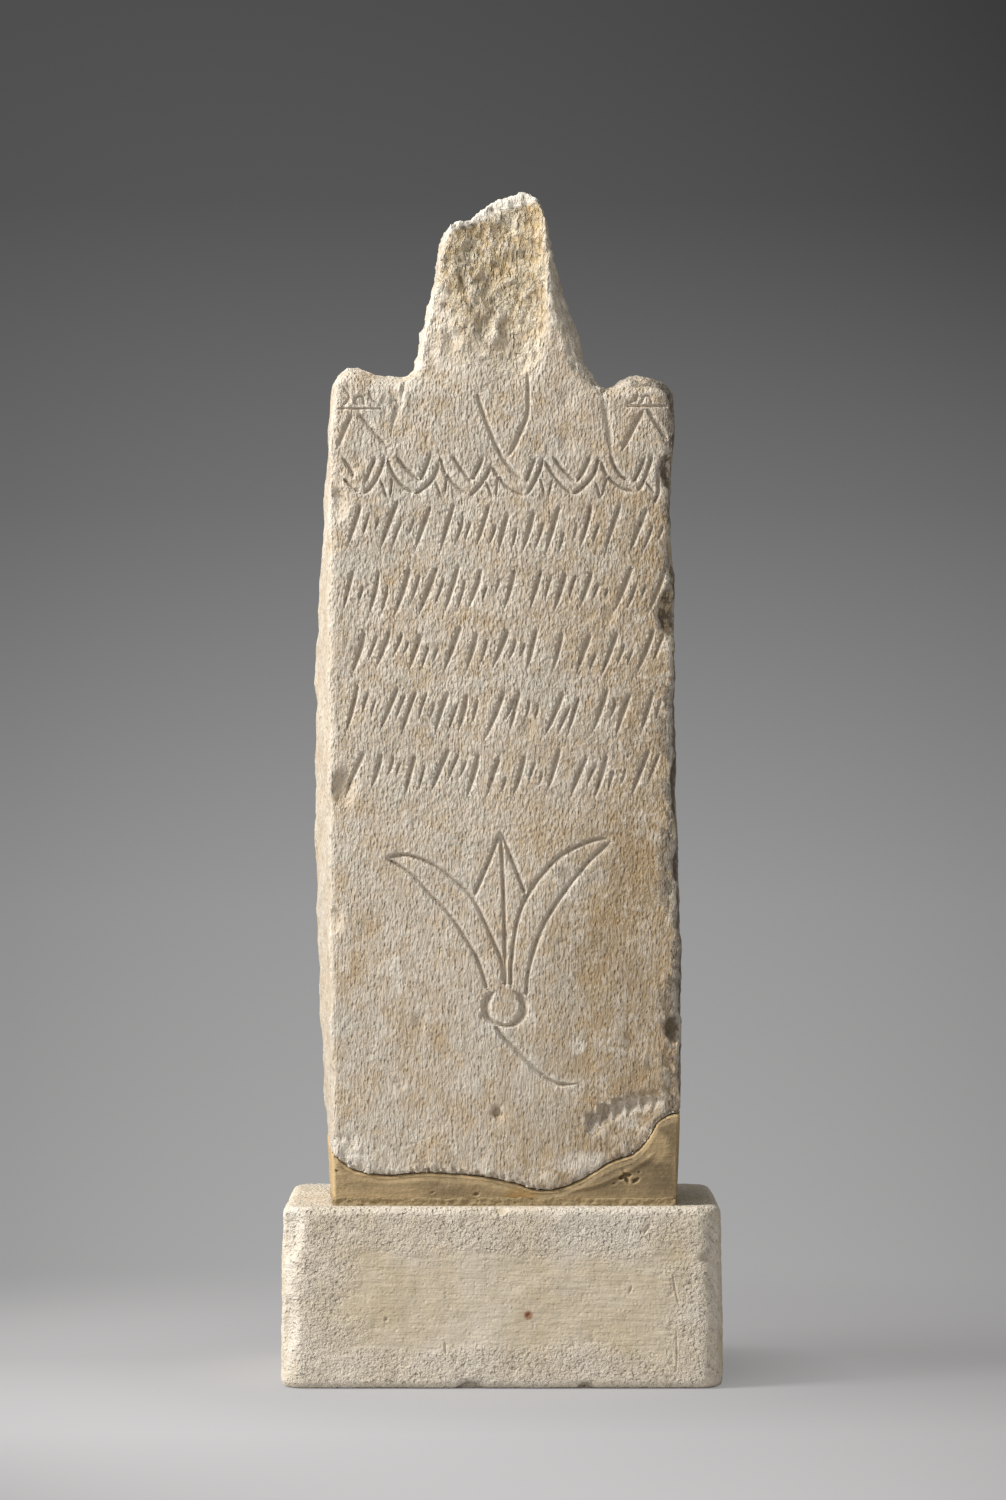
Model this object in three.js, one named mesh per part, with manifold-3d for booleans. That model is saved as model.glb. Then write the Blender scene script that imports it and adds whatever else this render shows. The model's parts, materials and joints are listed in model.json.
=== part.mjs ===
// Votive stele of limestone: a tapering shaft with a dressed front face, two corner acroteria and a tall
// pinnacle whose front has flaked away. Its lost foot is made up in plaster, which meets the broken underside
// of the stone along one fitted break. The foot stands on a thin bed of mortar on a stone plinth, and two
// steel dowels, set in resin, run from the plinth through bed and foot into the stone.
// Millimetres, +Z up, +Y to the back. The origin is the middle of the plinth's underside.
import * as THREE from 'three';
import { mergeVertices } from 'three/addons/utils/BufferGeometryUtils.js';
import Module from 'manifold-3d';

const wasm = await Module();
wasm.setup();

// Plinth
const plinthWidth = 189;
const plinthDepth = 122;
const plinthHeight = 78;
const plinthEdgeRadius = 3.4;
const plinthCornerRadius = 7;
const plinthBatter = 1; // how much further each side stands out at the bottom than at the top

// Stele: shaft, corners and pinnacle, with heights above the underside of the plaster foot
const faceWidth = 149;
const steleThickness = 80;
const shaftHeight = 326;
const leftCornerRise = 34;
const rightCornerRise = 30;
const notchRise = 26;
const pinnacleRise = 110;
const pinnacleBaseWidth = 82;
const pinnacleOffset = 1.5; // the pinnacle stands a little right of the middle
const frontMargin = 9; // plinth left bare in front of the dressed face

// Wear and dressing of the block
const leftFlare = 3.5; // how far the left side stands out behind the face at top and bottom
const leftBelly = 4.5; // and how much further at mid height
const rightFlare = 1.5;
const backRounding = 9;
const wallUnevenness = 0.9;
const hewnDepth = 4.5; // of the deepest facets that the point left in the rough back
const hewnFacet = 15;

// The flaked front of the pinnacle
const scarWidth = 54;
const scarHeight = 172; // of the whole hollow, of which the lower half cuts the pinnacle
const scarDepth = 8;
const scarFootRise = 22; // height of the scar's lower rim above the shaft
const scarNarrowing = 0.25; // share of its width that is lost from mid height to foot
const scarLean = 0.17; // the hollow runs down to the right
const scarTilt = 0.03; // and is deeper at the crest than at its foot
const scarTurn = 0.11; // and towards its right rim, where it is steep
const flakeWidth = 50; // a flat flake took the pinnacle's left arris
const flakeHeight = 72;
const flakeDepth = 2.9; // at its middle
const flakeTurn = 0.06;
const flakeTilt = 0.075; // it runs out at its foot and is deepest at its top

// Plaster foot, mortar bed and the film between pieces
const fitGap = 0.3;
const bedThickness = 2.4;
const grooveDepth = 1.4; // the plaster is struck off under the stone, which leaves a lip along its front
const grooveHeight = 3.2;
const breakRise = 38; // height of the break at the right side, where it is highest
const breakBackRise = 5; // and how much higher it lies at the back
const breakRoughness = 0.8;

// Dowels and the resin that holds them
const dowelRadius = 5;
const dowelSpacing = 76;
const dowelInPlinth = 42;
const dowelInStone = 62; // above the underside of the foot
const resinThickness = 1.6;
const resinEnd = 2; // resin beyond each end of a dowel
const roundSides = 24;

const dowelHole = dowelRadius + fitGap;
const anchorHole = dowelHole + resinThickness + fitGap;
const bedUnderside = plinthHeight + fitGap;
const footUnderside = bedUnderside + bedThickness + fitGap;
const faceLeft = -faceWidth / 2;
const faceRight = faceWidth / 2;
const shaftStart = -(bedThickness + 3 * fitGap) - 4; // the block reaches below the bed, cut to each piece
const stoneHoleTop = dowelInStone + resinEnd + 2 * fitGap;
const outlineSteps = 236;

// A closed three.js geometry as a solid, and a solid as a geometry.
function solidOf(geometry) {
  const plain = geometry.index ? geometry.toNonIndexed() : geometry.clone();
  plain.deleteAttribute('normal');
  plain.deleteAttribute('uv');
  const merged = mergeVertices(plain, 1e-4);
  return new wasm.Manifold(new wasm.Mesh({
    numProp: 3,
    vertProperties: merged.attributes.position.array,
    triVerts: new Uint32Array(merged.index.array),
  }));
}

function geometryOf(solid) {
  const mesh = solid.getMesh();
  const geometry = new THREE.BufferGeometry();
  geometry.setAttribute('position', new THREE.BufferAttribute(mesh.vertProperties, 3));
  geometry.setIndex(new THREE.BufferAttribute(mesh.triVerts, 1));
  const flat = geometry.toNonIndexed();
  flat.computeVertexNormals();
  return flat;
}

function block(width, depth, height, x, y, z) {
  return solidOf(new THREE.BoxGeometry(width, depth, height).translate(x, y, z + height / 2));
}

function upright(radius, height, x, y, z) {
  const cylinder = new THREE.CylinderGeometry(radius, radius, height, roundSides).rotateX(Math.PI / 2);
  return solidOf(cylinder.translate(x, y, z + height / 2));
}

// A lump of broken stone: a faceted ball, squashed to its three radii and turned about the depth axis.
function lump({ at, size, turn = 0, detail = 1 }) {
  const ball = new THREE.IcosahedronGeometry(1, detail).rotateX(0.4).rotateZ(0.7);
  return solidOf(ball.scale(...size).rotateY(turn).translate(...at));
}

function cutLumps(solid, lumps) {
  return lumps.reduce((left, chip) => left.subtract(lump(chip)), solid);
}

// Repeatable waves, from -1 to 1, that stand for hand work and weather. Lengths along u are 37, 16 and 80.
function waves(u, v) {
  return 0.45 * Math.sin(u / 5.9 + 2.1 * Math.cos(v / 12)) + 0.3 * Math.sin(u / 2.6 + v / 7.5)
    + 0.25 * Math.cos(u / 12.7 - v / 9);
}

// The outline seen from the front, clockwise from the lower left. Each point has the width of its worn arris.
function outlinePoints() {
  const leftTop = shaftHeight + leftCornerRise;
  const rightTop = shaftHeight + rightCornerRise;
  const notch = shaftHeight + notchRise;
  const tip = shaftHeight + pinnacleRise;
  const flank = tip - notch;
  const half = pinnacleBaseWidth / 2;
  const mid = pinnacleOffset;
  const leftSide = [
    [faceLeft + 1.6, shaftStart, 0.6],
    [faceLeft + 1.2, shaftHeight * 0.07, 0.8],
    [faceLeft + 0.2, shaftHeight * 0.3, 1.2],
    [faceLeft - 0.6, shaftHeight * 0.57, 1.6],
    [faceLeft - 0.8, shaftHeight * 0.82, 2],
    [faceLeft + 0.2, shaftHeight * 0.95, 1.4],
    [faceLeft + 0.5, shaftHeight, 1.2],
  ];
  const leftCorner = [
    [faceLeft + 1.8, leftTop - 9, 2],
    [faceLeft + 4.4, leftTop - 3.4, 4.4],
    [faceLeft + 10, leftTop, 7],
    [faceLeft + 19, leftTop - 2.8, 7.4],
    [mid - half - 5.5, notch + 3.6, 7],
  ];
  const leftFlank = [
    [mid - half + 0.5, notch + 5, 5],
    [mid - half + 5.5, notch + flank * 0.2, 3],
    [mid - half * 0.78, notch + flank * 0.42, 2.6],
    [mid - half * 0.69, notch + flank * 0.56, 3],
    [mid - half * 0.65, notch + flank * 0.74, 3],
  ];
  const crest = [
    [mid - half * 0.57, tip - 14, 3.2],
    [mid - 16, tip - 12.8, 3.6],
    [mid - 9, tip - 7.5, 4],
    [mid - 3, tip - 2.6, 4],
    [mid + 3.4, tip - 2.6, 3],
    [mid + 7.6, tip, 2.6],
    [mid + 13, tip - 3, 2],
  ];
  const rightFlank = [
    [mid + half * 0.42, tip - 12, 2.4],
    [mid + half * 0.46, tip - 24, 3.6],
    [mid + half * 0.57, notch + flank * 0.5, 5],
    [mid + half * 0.72, notch + flank * 0.31, 6.4],
    [mid + half * 0.84, notch + flank * 0.1, 6],
    [mid + half + 1.2, notch - 2.6, 4],
  ];
  const rightCorner = [
    [mid + half + 9, rightTop - 2.4, 6.6],
    [faceRight - 14, rightTop, 7],
    [faceRight - 5, rightTop - 3, 4.6],
    [faceRight - 1.2, rightTop - 9, 2],
    [faceRight - 0.6, shaftHeight, 1.4],
  ];
  const rightSide = [
    [faceRight - 2.4, shaftHeight * 0.91, 2],
    [faceRight - 0.6, shaftHeight * 0.8, 1.8],
    [faceRight, shaftHeight * 0.6, 1.6],
    [faceRight + 2, shaftHeight * 0.35, 1.6],
    [faceRight + 2.4, shaftHeight * 0.13, 1.2],
    [faceRight + 0.8, shaftStart, 0.8],
  ];
  return [leftSide, leftCorner, leftFlank, crest, rightFlank, rightCorner, rightSide].flat();
}

// The outline in even steps. Each has the direction that points outwards, smoothed over its neighbours.
function sampledOutline() {
  const curve = new THREE.CatmullRomCurve3(
    outlinePoints().map(([x, z, worn]) => new THREE.Vector3(x, z, worn)), false, 'catmullrom', 0.35);
  const samples = curve.getSpacedPoints(outlineSteps);
  const reach = 3;
  return samples.map((point, i) => {
    const before = samples[Math.max(i - reach, 0)];
    const after = samples[Math.min(i + reach, samples.length - 1)];
    const out = new THREE.Vector2(before.y - after.y, after.x - before.x).normalize();
    return { x: point.x, z: point.y, worn: point.z, out };
  });
}

// How far a side stands out behind the face. It reaches its full width before the rounded rear edge.
function flareAt({ z, out }, depth) {
  const full = Math.min(depth / (steleThickness - 2 * backRounding), 1);
  const up = THREE.MathUtils.clamp(z / shaftHeight, 0, 1);
  const left = leftFlare + leftBelly * Math.sin(up * Math.PI);
  return (out.x < 0 ? left : rightFlare) * full * Math.abs(out.x);
}

// The block: the outline lofted from the face to the back, over the worn arris, the side walls and the
// rounded rear edge. The plaster parts have the same sides without the unevenness.
function loftedBlock(unevenness) {
  const outline = sampledOutline();
  const stations = [
    (worn) => ({ depth: 0, grow: -worn }),
    (worn) => ({ depth: worn * 0.4, grow: -worn * 0.4 }),
    (worn) => ({ depth: worn * 1.2 + 1, grow: 0 }),
    () => ({ depth: steleThickness * 0.25, grow: 0 }),
    () => ({ depth: steleThickness * 0.42, grow: 0 }),
    () => ({ depth: steleThickness * 0.6, grow: 0 }),
    () => ({ depth: steleThickness * 0.75, grow: 0 }),
    () => ({ depth: steleThickness - backRounding, grow: -0.5 }),
    () => ({ depth: steleThickness - backRounding * 0.35, grow: -backRounding * 0.35 }),
    () => ({ depth: steleThickness, grow: -backRounding }),
  ];
  const points = [];
  for (const station of stations) {
    for (const sample of outline) {
      const { depth, grow } = station(sample.worn);
      const rough = depth > 0 ? unevenness * waves(sample.z + sample.x, depth) : 0;
      const reach = grow + flareAt(sample, depth) + rough;
      points.push(sample.x + sample.out.x * reach, depth, sample.z + sample.out.y * reach);
    }
  }
  const count = outline.length;
  const faces = [];
  for (let station = 0; station < stations.length - 1; station += 1) {
    for (let i = 0; i < count; i += 1) {
      const a = station * count + i;
      const b = station * count + ((i + 1) % count);
      faces.push(a, b, a + count, b, b + count, a + count);
    }
  }
  const capAt = (station) => {
    const loop = [];
    for (let i = 0; i < count; i += 1) {
      const at = (station * count + i) * 3;
      loop.push(new THREE.Vector2(points[at], points[at + 2]));
    }
    return THREE.ShapeUtils.triangulateShape(loop, []).map((face) => face.map((i) => i + station * count));
  };
  for (const [a, b, c] of capAt(0)) faces.push(a, b, c);
  for (const [a, b, c] of capAt(stations.length - 1)) faces.push(a, c, b);
  const geometry = new THREE.BufferGeometry();
  geometry.setAttribute('position', new THREE.Float32BufferAttribute(points, 3));
  geometry.setIndex(faces);
  return solidOf(geometry);
}

// The broken underside along the face, as shares of the half width and of the greatest height.
const breakLine = new THREE.CatmullRomCurve3([
  [-1.1, 0.58], [-0.98, 0.5], [-0.87, 0.33], [-0.67, 0.263], [-0.44, 0.3], [-0.12, 0.255], [0.09, 0.168],
  [0.18, 0.103], [0.32, 0.108], [0.46, 0.216], [0.63, 0.42], [0.77, 0.513], [0.85, 0.684], [0.89, 0.868],
  [0.98, 0.96], [1.1, 1],
].map(([across, up]) => new THREE.Vector3(across * faceRight, up * breakRise, 0)), false, 'catmullrom', 0.3);

// Height of the break above the foot, across the face and into the depth.
function breakHeight(x, depth) {
  const tries = 18;
  let low = 0;
  let high = 1;
  for (let i = 0; i < tries; i += 1) {
    const middle = (low + high) / 2;
    if (breakLine.getPoint(middle).x < x) low = middle;
    else high = middle;
  }
  const inwards = depth / steleThickness;
  const rough = breakRoughness * (1 + waves(x, depth)) * inwards;
  return breakLine.getPoint(low).y + breakBackRise * inwards * inwards + rough;
}

// Everything under the break: a block whose top is the broken surface, lowered by a gap.
function underBreak(gap) {
  const columns = 46;
  const rows = 7;
  const margin = 12;
  const start = faceLeft - margin;
  const width = faceWidth + 2 * margin;
  const top = new THREE.BoxGeometry(width, steleThickness + 2 * margin, 1, columns, rows, 1);
  const at = top.attributes.position;
  const floor = shaftStart - margin;
  for (let i = 0; i < at.count; i += 1) {
    const x = at.getX(i) + width / 2 + start;
    const depth = at.getY(i) + steleThickness / 2;
    at.setXYZ(i, x, depth, at.getZ(i) > 0 ? breakHeight(x, Math.max(depth, 0)) - gap : floor);
  }
  return solidOf(top);
}

const dowelPlaces = { left: -dowelSpacing / 2, right: dowelSpacing / 2 };
const dowelDepth = steleThickness / 2;

// Highest point of the break around a dowel, where the resin in the stone begins.
function resinStart(x) {
  let highest = 0;
  for (let i = 0; i < roundSides; i += 1) {
    const angle = (i / roundSides) * 2 * Math.PI;
    const around = breakHeight(x + anchorHole * Math.cos(angle), dowelDepth + anchorHole * Math.sin(angle));
    highest = Math.max(highest, around);
  }
  return highest + 1;
}

// The flaked hollow down the front of the pinnacle, steep at its right rim and flat in the middle, and the
// flat flake to its left, whose surface falls back towards the side.
function scars() {
  const inFront = 3;
  const hollow = new THREE.SphereGeometry(1, 32, 26).rotateX(Math.PI / 2);
  const at = hollow.attributes.position;
  const point = new THREE.Vector3();
  for (let i = 0; i < at.count; i += 1) {
    point.fromBufferAttribute(at, i);
    const cubed = Math.abs(point.x) ** 3 + Math.abs(point.y) ** 3 + Math.abs(point.z) ** 3;
    point.divideScalar(Math.cbrt(cubed));
    at.setXYZ(i, point.x * (1 + scarNarrowing * point.z), point.y, point.z);
  }
  const foot = shaftHeight + scarFootRise;
  hollow.scale(scarWidth / 2, scarDepth + inFront, scarHeight / 2);
  hollow.rotateX(-scarTilt).rotateZ(scarTurn).rotateY(-scarLean);
  hollow.translate(pinnacleOffset - 10.5, -inFront, foot + scarHeight / 2);
  const flake = new THREE.BoxGeometry(flakeWidth, flakeWidth, flakeHeight);
  flake.rotateZ(-flakeTurn).rotateX(-flakeTilt).rotateY(-scarLean);
  flake.translate(pinnacleOffset - pinnacleBaseWidth * 0.33, flakeDepth - flakeWidth / 2, foot + flakeHeight / 2);
  return solidOf(hollow).add(solidOf(flake));
}

// Where the stone has chipped: along both arrises, under the carving and beside the pinnacle.
const faceChips = [
  { at: [faceRight - 1, -1, shaftHeight * 0.963], size: [6, 6, 9] },
  { at: [faceRight + 1, 0, shaftHeight * 0.86], size: [5, 7, 8] },
  { at: [faceRight, -1, shaftHeight * 0.777], size: [8, 7, 12] },
  { at: [faceRight + 3, 3, shaftHeight * 0.555], size: [5, 12, 20] },
  { at: [faceRight + 3, 0, shaftHeight * 0.44], size: [4, 8, 9] },
  { at: [faceRight + 0.5, -1.5, shaftHeight * 0.224], size: [6, 5, 7] },
  { at: [faceLeft + 2, -1, shaftHeight * 0.37], size: [4, 4, 7] },
  { at: [faceLeft + 3, -1, shaftHeight * 0.92], size: [5, 4, 9] },
  { at: [faceLeft + 6, -2.5, shaftHeight * 0.545], size: [7, 5, 11] },
];
// A scoop that the gouge took above the break, blow beside blow, and single hollows elsewhere.
const gougeBlows = 6;
const gougeMarks = Array.from({ length: gougeBlows }, (_, i) => {
  const along = i / (gougeBlows - 1);
  const across = faceRight * (0.54 + 0.34 * along);
  const up = breakRise * (0.84 + 0.26 * Math.sin(along * 1.6));
  return { at: [across, 0, up], size: [3, 4.4 - 1.2 * along, 5.4], turn: 0.5 - 0.3 * along };
});
const lowerHollows = [
  { at: [faceRight * 0.72, -3.4, breakRise * 0.87], size: [16, 5, 8], turn: -0.3, detail: 2 },
  { at: [-2.2, 0, breakRise * 0.98], size: [2.2, 3.2, 2.8] },
  { at: [faceLeft + 26.5, -1, shaftHeight + 19], size: [3, 3.4, 5], turn: 0.5 },
];

// What the point took off the back, as one sheet of uneven facets.
function hewnAway() {
  const width = faceWidth * 1.4;
  const height = (shaftHeight + pinnacleRise) * 1.15;
  const columns = Math.round(width / hewnFacet);
  const rows = Math.round(height / hewnFacet);
  const sheet = new THREE.BoxGeometry(width, steleThickness, height, columns, 1, rows);
  const at = sheet.attributes.position;
  for (let i = 0; i < at.count; i += 1) {
    const x = at.getX(i);
    const z = at.getZ(i);
    const strike = 0.5 + 0.5 * Math.sin(x * 1.7 + 3.1 * Math.sin(z * 0.9)) * Math.cos(z * 1.3 - x * 0.4);
    const near = -steleThickness / 2 - hewnDepth * strike;
    const shift = hewnFacet * 0.28 * Math.sin(x * 0.7 + z * 1.9);
    if (at.getY(i) < 0) at.setXYZ(i, x + shift, near, z + hewnFacet * 0.28 * Math.cos(x * 1.3 - z * 0.8));
  }
  return solidOf(sheet.translate(0, steleThickness * 1.5, height / 2 - 2 * hewnFacet));
}

function steleStone() {
  let stone = loftedBlock(wallUnevenness).subtract(underBreak(0)).subtract(scars()).subtract(hewnAway());
  stone = cutLumps(stone, [...faceChips, ...gougeMarks, ...lowerHollows]);
  for (const x of Object.values(dowelPlaces)) {
    stone = stone.subtract(upright(anchorHole, stoneHoleTop + 1, x, dowelDepth, -1));
  }
  return stone;
}

// The plaster foot: the block below the break, struck off along its upper front edge.
function plasterFoot() {
  const below = block(2 * faceWidth, 3 * steleThickness, pinnacleRise, 0, 0, -pinnacleRise);
  const front = block(2 * faceWidth, 2 * grooveDepth, pinnacleRise, 0, 0, 0);
  const groove = front.subtract(underBreak(grooveHeight));
  let foot = loftedBlock(0).intersect(underBreak(fitGap)).subtract(below).subtract(groove);
  for (const x of Object.values(dowelPlaces)) {
    foot = foot.subtract(upright(dowelHole, 2 * dowelInStone, x, dowelDepth, -dowelInStone));
  }
  return foot;
}

// The bed has the foot's own footprint.
function mortarBed() {
  const layer = block(2 * faceWidth, 3 * steleThickness, bedThickness, 0, 0, -bedThickness - fitGap);
  let bed = loftedBlock(0).intersect(layer);
  for (const x of Object.values(dowelPlaces)) {
    bed = bed.subtract(upright(dowelHole, 4 * bedThickness, x, dowelDepth, -3 * bedThickness));
  }
  return bed;
}

const dowelLine = -plinthDepth / 2 + frontMargin + dowelDepth;
const plinthChips = [
  { at: [-plinthWidth / 2 - 1, -plinthDepth / 2 - 1, plinthHeight - 12], size: [10, 9, 15] },
  { at: [-plinthWidth / 2, -plinthDepth / 2, plinthHeight * 0.36], size: [7, 6, 16] },
  { at: [plinthWidth / 2 + 1, -plinthDepth / 2 - 1, plinthHeight - 14], size: [7, 6, 14] },
  { at: [plinthWidth / 2 + 1, -plinthDepth / 2 - 0.5, plinthHeight * 0.5], size: [6, 5, 7] },
  { at: [-1, -plinthDepth / 2 - 1, plinthHeight], size: [5, 4, 3.4] },
  { at: [-14, -plinthDepth / 2 - 0.5, 0.5], size: [6, 4, 3] },
  { at: [36, -plinthDepth / 2 - 0.5, 0.5], size: [4, 3.4, 2.6] },
];

function plinthBlock() {
  const edge = plinthEdgeRadius;
  const corner = plinthCornerRadius;
  const right = plinthWidth / 2 - edge;
  const back = plinthDepth / 2 - edge;
  const plan = new THREE.Shape();
  plan.absarc(right - corner, back - corner, corner, 0, Math.PI / 2);
  plan.absarc(corner - right, back - corner, corner, Math.PI / 2, Math.PI);
  plan.absarc(corner - right, corner - back, corner, Math.PI, Math.PI * 1.5);
  plan.absarc(right - corner, corner - back, corner, Math.PI * 1.5, Math.PI * 2);
  const rounded = new THREE.ExtrudeGeometry(plan, {
    depth: plinthHeight - 2 * edge,
    bevelThickness: edge,
    bevelSize: edge,
    bevelSegments: 4,
    curveSegments: 6,
  }).translate(0, 0, edge);
  const at = rounded.attributes.position;
  for (let i = 0; i < at.count; i += 1) {
    const spread = plinthBatter * (1 - at.getZ(i) / plinthHeight);
    at.setX(i, at.getX(i) * (1 + (2 * spread) / plinthWidth));
    at.setY(i, at.getY(i) * (1 + (2 * spread) / plinthDepth));
  }
  let plinth = cutLumps(solidOf(rounded), plinthChips);
  const holeDepth = dowelInPlinth + resinEnd + 2 * fitGap;
  for (const x of Object.values(dowelPlaces)) {
    plinth = plinth.subtract(upright(anchorHole, holeDepth + 1, x, dowelLine, plinthHeight - holeDepth));
  }
  return plinth;
}

// A cup of set resin round one end of a dowel, open where the dowel enters.
function resinCup(length, opensDown) {
  const outer = anchorHole - fitGap;
  const inner = dowelHole;
  const profile = [[0, 0], [outer, 0], [outer, length], [inner, length], [inner, resinEnd], [0, resinEnd]];
  const cup = new THREE.LatheGeometry(profile.map(([r, z]) => new THREE.Vector2(r, z)), roundSides);
  return solidOf(cup.rotateX(opensDown ? -Math.PI / 2 : Math.PI / 2));
}

const limestone = { color: '#cdc1aa', roughness: 0.95, metalness: 0 };
const plaster = { color: '#ab9670', roughness: 0.8, metalness: 0 };
const mortar = { color: '#c3ab80', roughness: 0.9, metalness: 0 };
const plinthStone = { color: '#d2c8b3', roughness: 0.95, metalness: 0 };
const steel = { color: '#a9aaac', roughness: 0.35, metalness: 1 };
const resin = { color: '#d9c48a', roughness: 0.4, metalness: 0 };

function piece(name, solid, finish) {
  const mesh = new THREE.Mesh(geometryOf(solid), new THREE.MeshStandardMaterial(finish));
  mesh.name = name;
  return mesh;
}

// The stele stands in its own group, whose origin is the foot of the dressed face.
const stele = new THREE.Group();
stele.position.set(0, -plinthDepth / 2 + frontMargin, footUnderside);
stele.add(piece('stele_stone', steleStone(), limestone));
stele.add(piece('plaster_foot', plasterFoot(), plaster));
stele.add(piece('mortar_bed', mortarBed(), mortar));

const votiveStele = new THREE.Group();
votiveStele.add(stele, piece('plinth', plinthBlock(), plinthStone));

const dowelLow = plinthHeight - dowelInPlinth;
const dowelHigh = footUnderside + dowelInStone;
const plinthResinLow = dowelLow - fitGap - resinEnd;
for (const [side, x] of Object.entries(dowelPlaces)) {
  const dowel = piece(`dowel_${side}`, upright(dowelRadius, dowelHigh - dowelLow, 0, 0, 0), steel);
  dowel.position.set(x, dowelLine, dowelLow);

  const lowerCup = piece(`plinth_resin_${side}`, resinCup(plinthHeight - plinthResinLow - 1, false), resin);
  lowerCup.position.set(x, dowelLine, plinthResinLow);

  const upperCup = piece(`stone_resin_${side}`, resinCup(stoneHoleTop - fitGap - resinStart(x), true), resin);
  upperCup.position.set(x, dowelLine, dowelHigh + fitGap + resinEnd);
  votiveStele.add(dowel, lowerCup, upperCup);
}

export default votiveStele;
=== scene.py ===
# Votive stele of limestone on a plinth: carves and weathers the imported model's stones, gives every piece its
# finish and lights it. Metres, +Z up, +Y to the back. The tools' paths are in millimetres, across from the
# middle of the face and up from the underside of the plaster foot, or of the plinth for its scratches.
import json
import math
import random

import bmesh
import bpy
import numpy as np
from mathutils import Matrix, Vector
from mathutils.bvhtree import BVHTree
from mathutils.kdtree import KDTree

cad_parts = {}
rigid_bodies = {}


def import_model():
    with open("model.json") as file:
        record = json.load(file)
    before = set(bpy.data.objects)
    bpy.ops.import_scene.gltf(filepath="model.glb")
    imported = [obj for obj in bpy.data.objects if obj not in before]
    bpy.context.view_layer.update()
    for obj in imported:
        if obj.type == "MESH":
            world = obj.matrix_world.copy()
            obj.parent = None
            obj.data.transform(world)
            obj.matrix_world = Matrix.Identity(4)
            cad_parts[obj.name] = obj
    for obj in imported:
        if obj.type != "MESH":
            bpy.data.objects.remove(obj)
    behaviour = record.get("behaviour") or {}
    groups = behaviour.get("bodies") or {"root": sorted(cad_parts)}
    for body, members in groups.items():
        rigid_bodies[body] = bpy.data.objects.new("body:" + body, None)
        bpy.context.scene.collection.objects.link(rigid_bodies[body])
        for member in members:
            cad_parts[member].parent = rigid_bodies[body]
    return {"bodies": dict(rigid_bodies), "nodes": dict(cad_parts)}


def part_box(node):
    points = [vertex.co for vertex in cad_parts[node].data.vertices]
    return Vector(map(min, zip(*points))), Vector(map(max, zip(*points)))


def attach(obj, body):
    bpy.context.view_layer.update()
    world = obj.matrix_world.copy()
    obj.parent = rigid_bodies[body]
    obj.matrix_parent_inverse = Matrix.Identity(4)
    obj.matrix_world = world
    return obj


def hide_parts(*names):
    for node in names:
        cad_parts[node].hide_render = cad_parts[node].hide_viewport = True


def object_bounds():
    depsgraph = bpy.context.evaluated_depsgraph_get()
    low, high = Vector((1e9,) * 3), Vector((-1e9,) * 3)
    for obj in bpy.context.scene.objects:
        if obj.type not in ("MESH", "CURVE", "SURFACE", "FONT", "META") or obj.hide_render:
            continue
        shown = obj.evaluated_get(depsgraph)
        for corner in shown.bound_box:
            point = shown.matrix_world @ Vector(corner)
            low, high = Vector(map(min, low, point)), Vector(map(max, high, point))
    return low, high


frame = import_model()

bl_info = {
    "name": "Votive stele",
    "version": (1, 0, 0),
    "blender": (4, 5, 0),
    "location": "3D View > Sidebar > Stele",
    "description": "Carves, weathers and finishes a votive stele and its plinth",
    "category": "Object",
}

MM = 0.001
BODY = next(iter(frame["bodies"]))
CAD_BOX = [list(corner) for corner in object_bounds()]
FACE_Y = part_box("stele_stone")[0][1]
FOOT_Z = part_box("plaster_foot")[0][2]
PLINTH_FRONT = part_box("plinth")[0][1]
JOINT_FILL = 0.00024  # how far the mortar is pressed into the joints above and below it
STONE_GRAIN = (1, 1, 0.7)  # stretch of the patterns of weathering along X, Y and Z
PLASTER_GRAIN = (0.3, 0.3, 1)
MORTAR_GRAIN = (1, 1, 1)
PLINTH_GRAIN = (0.8, 0.8, 1)
BACK_KEPT = 0.16  # share of the fine mesh's faces kept on the stone's back
FRONT_LAYER = 14 * MM  # what lies further behind the stone's face counts as its back
NOISE_SPAN = 4  # a noise moves the surface by about a quarter of its whole span
KEY_DIRECTION, KEY_DISTANCE = (-0.74, -0.265, 0.615), 2.2
FILL_DIRECTION, FILL_DISTANCE, FILL_SIZE = (-0.3, -0.93, 0.1), 2.6, 1.4
LIT_HEIGHT = 0.2  # of the point above the foot at which the lamps aim
LENS, SENSOR = 117.2, 36  # in millimetres


def linear(code):
    """Linear red, green and blue of an sRGB hex colour."""
    shares = [int(code[i:i + 2], 16) / 255 for i in (1, 3, 5)]
    return tuple(c / 12.92 if c <= 0.04045 else ((c + 0.055) / 1.055) ** 2.4 for c in shares)


def length(name, description, millimetres):
    """A property for a length, with its default in millimetres."""
    return bpy.props.FloatProperty(
        name=name, description=description, default=millimetres * MM, min=0, precision=5,
        unit="LENGTH", subtype="DISTANCE")


def colour(name, description, code):
    """A property for a colour, with its default as sRGB hex."""
    return bpy.props.FloatVectorProperty(
        name=name, description=description, default=linear(code), size=3, min=0, max=1, subtype="COLOR")


def light_level(name, description, level):
    """A property for the strength of a light."""
    return bpy.props.FloatProperty(name=name, description=description, default=level, min=0)


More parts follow.
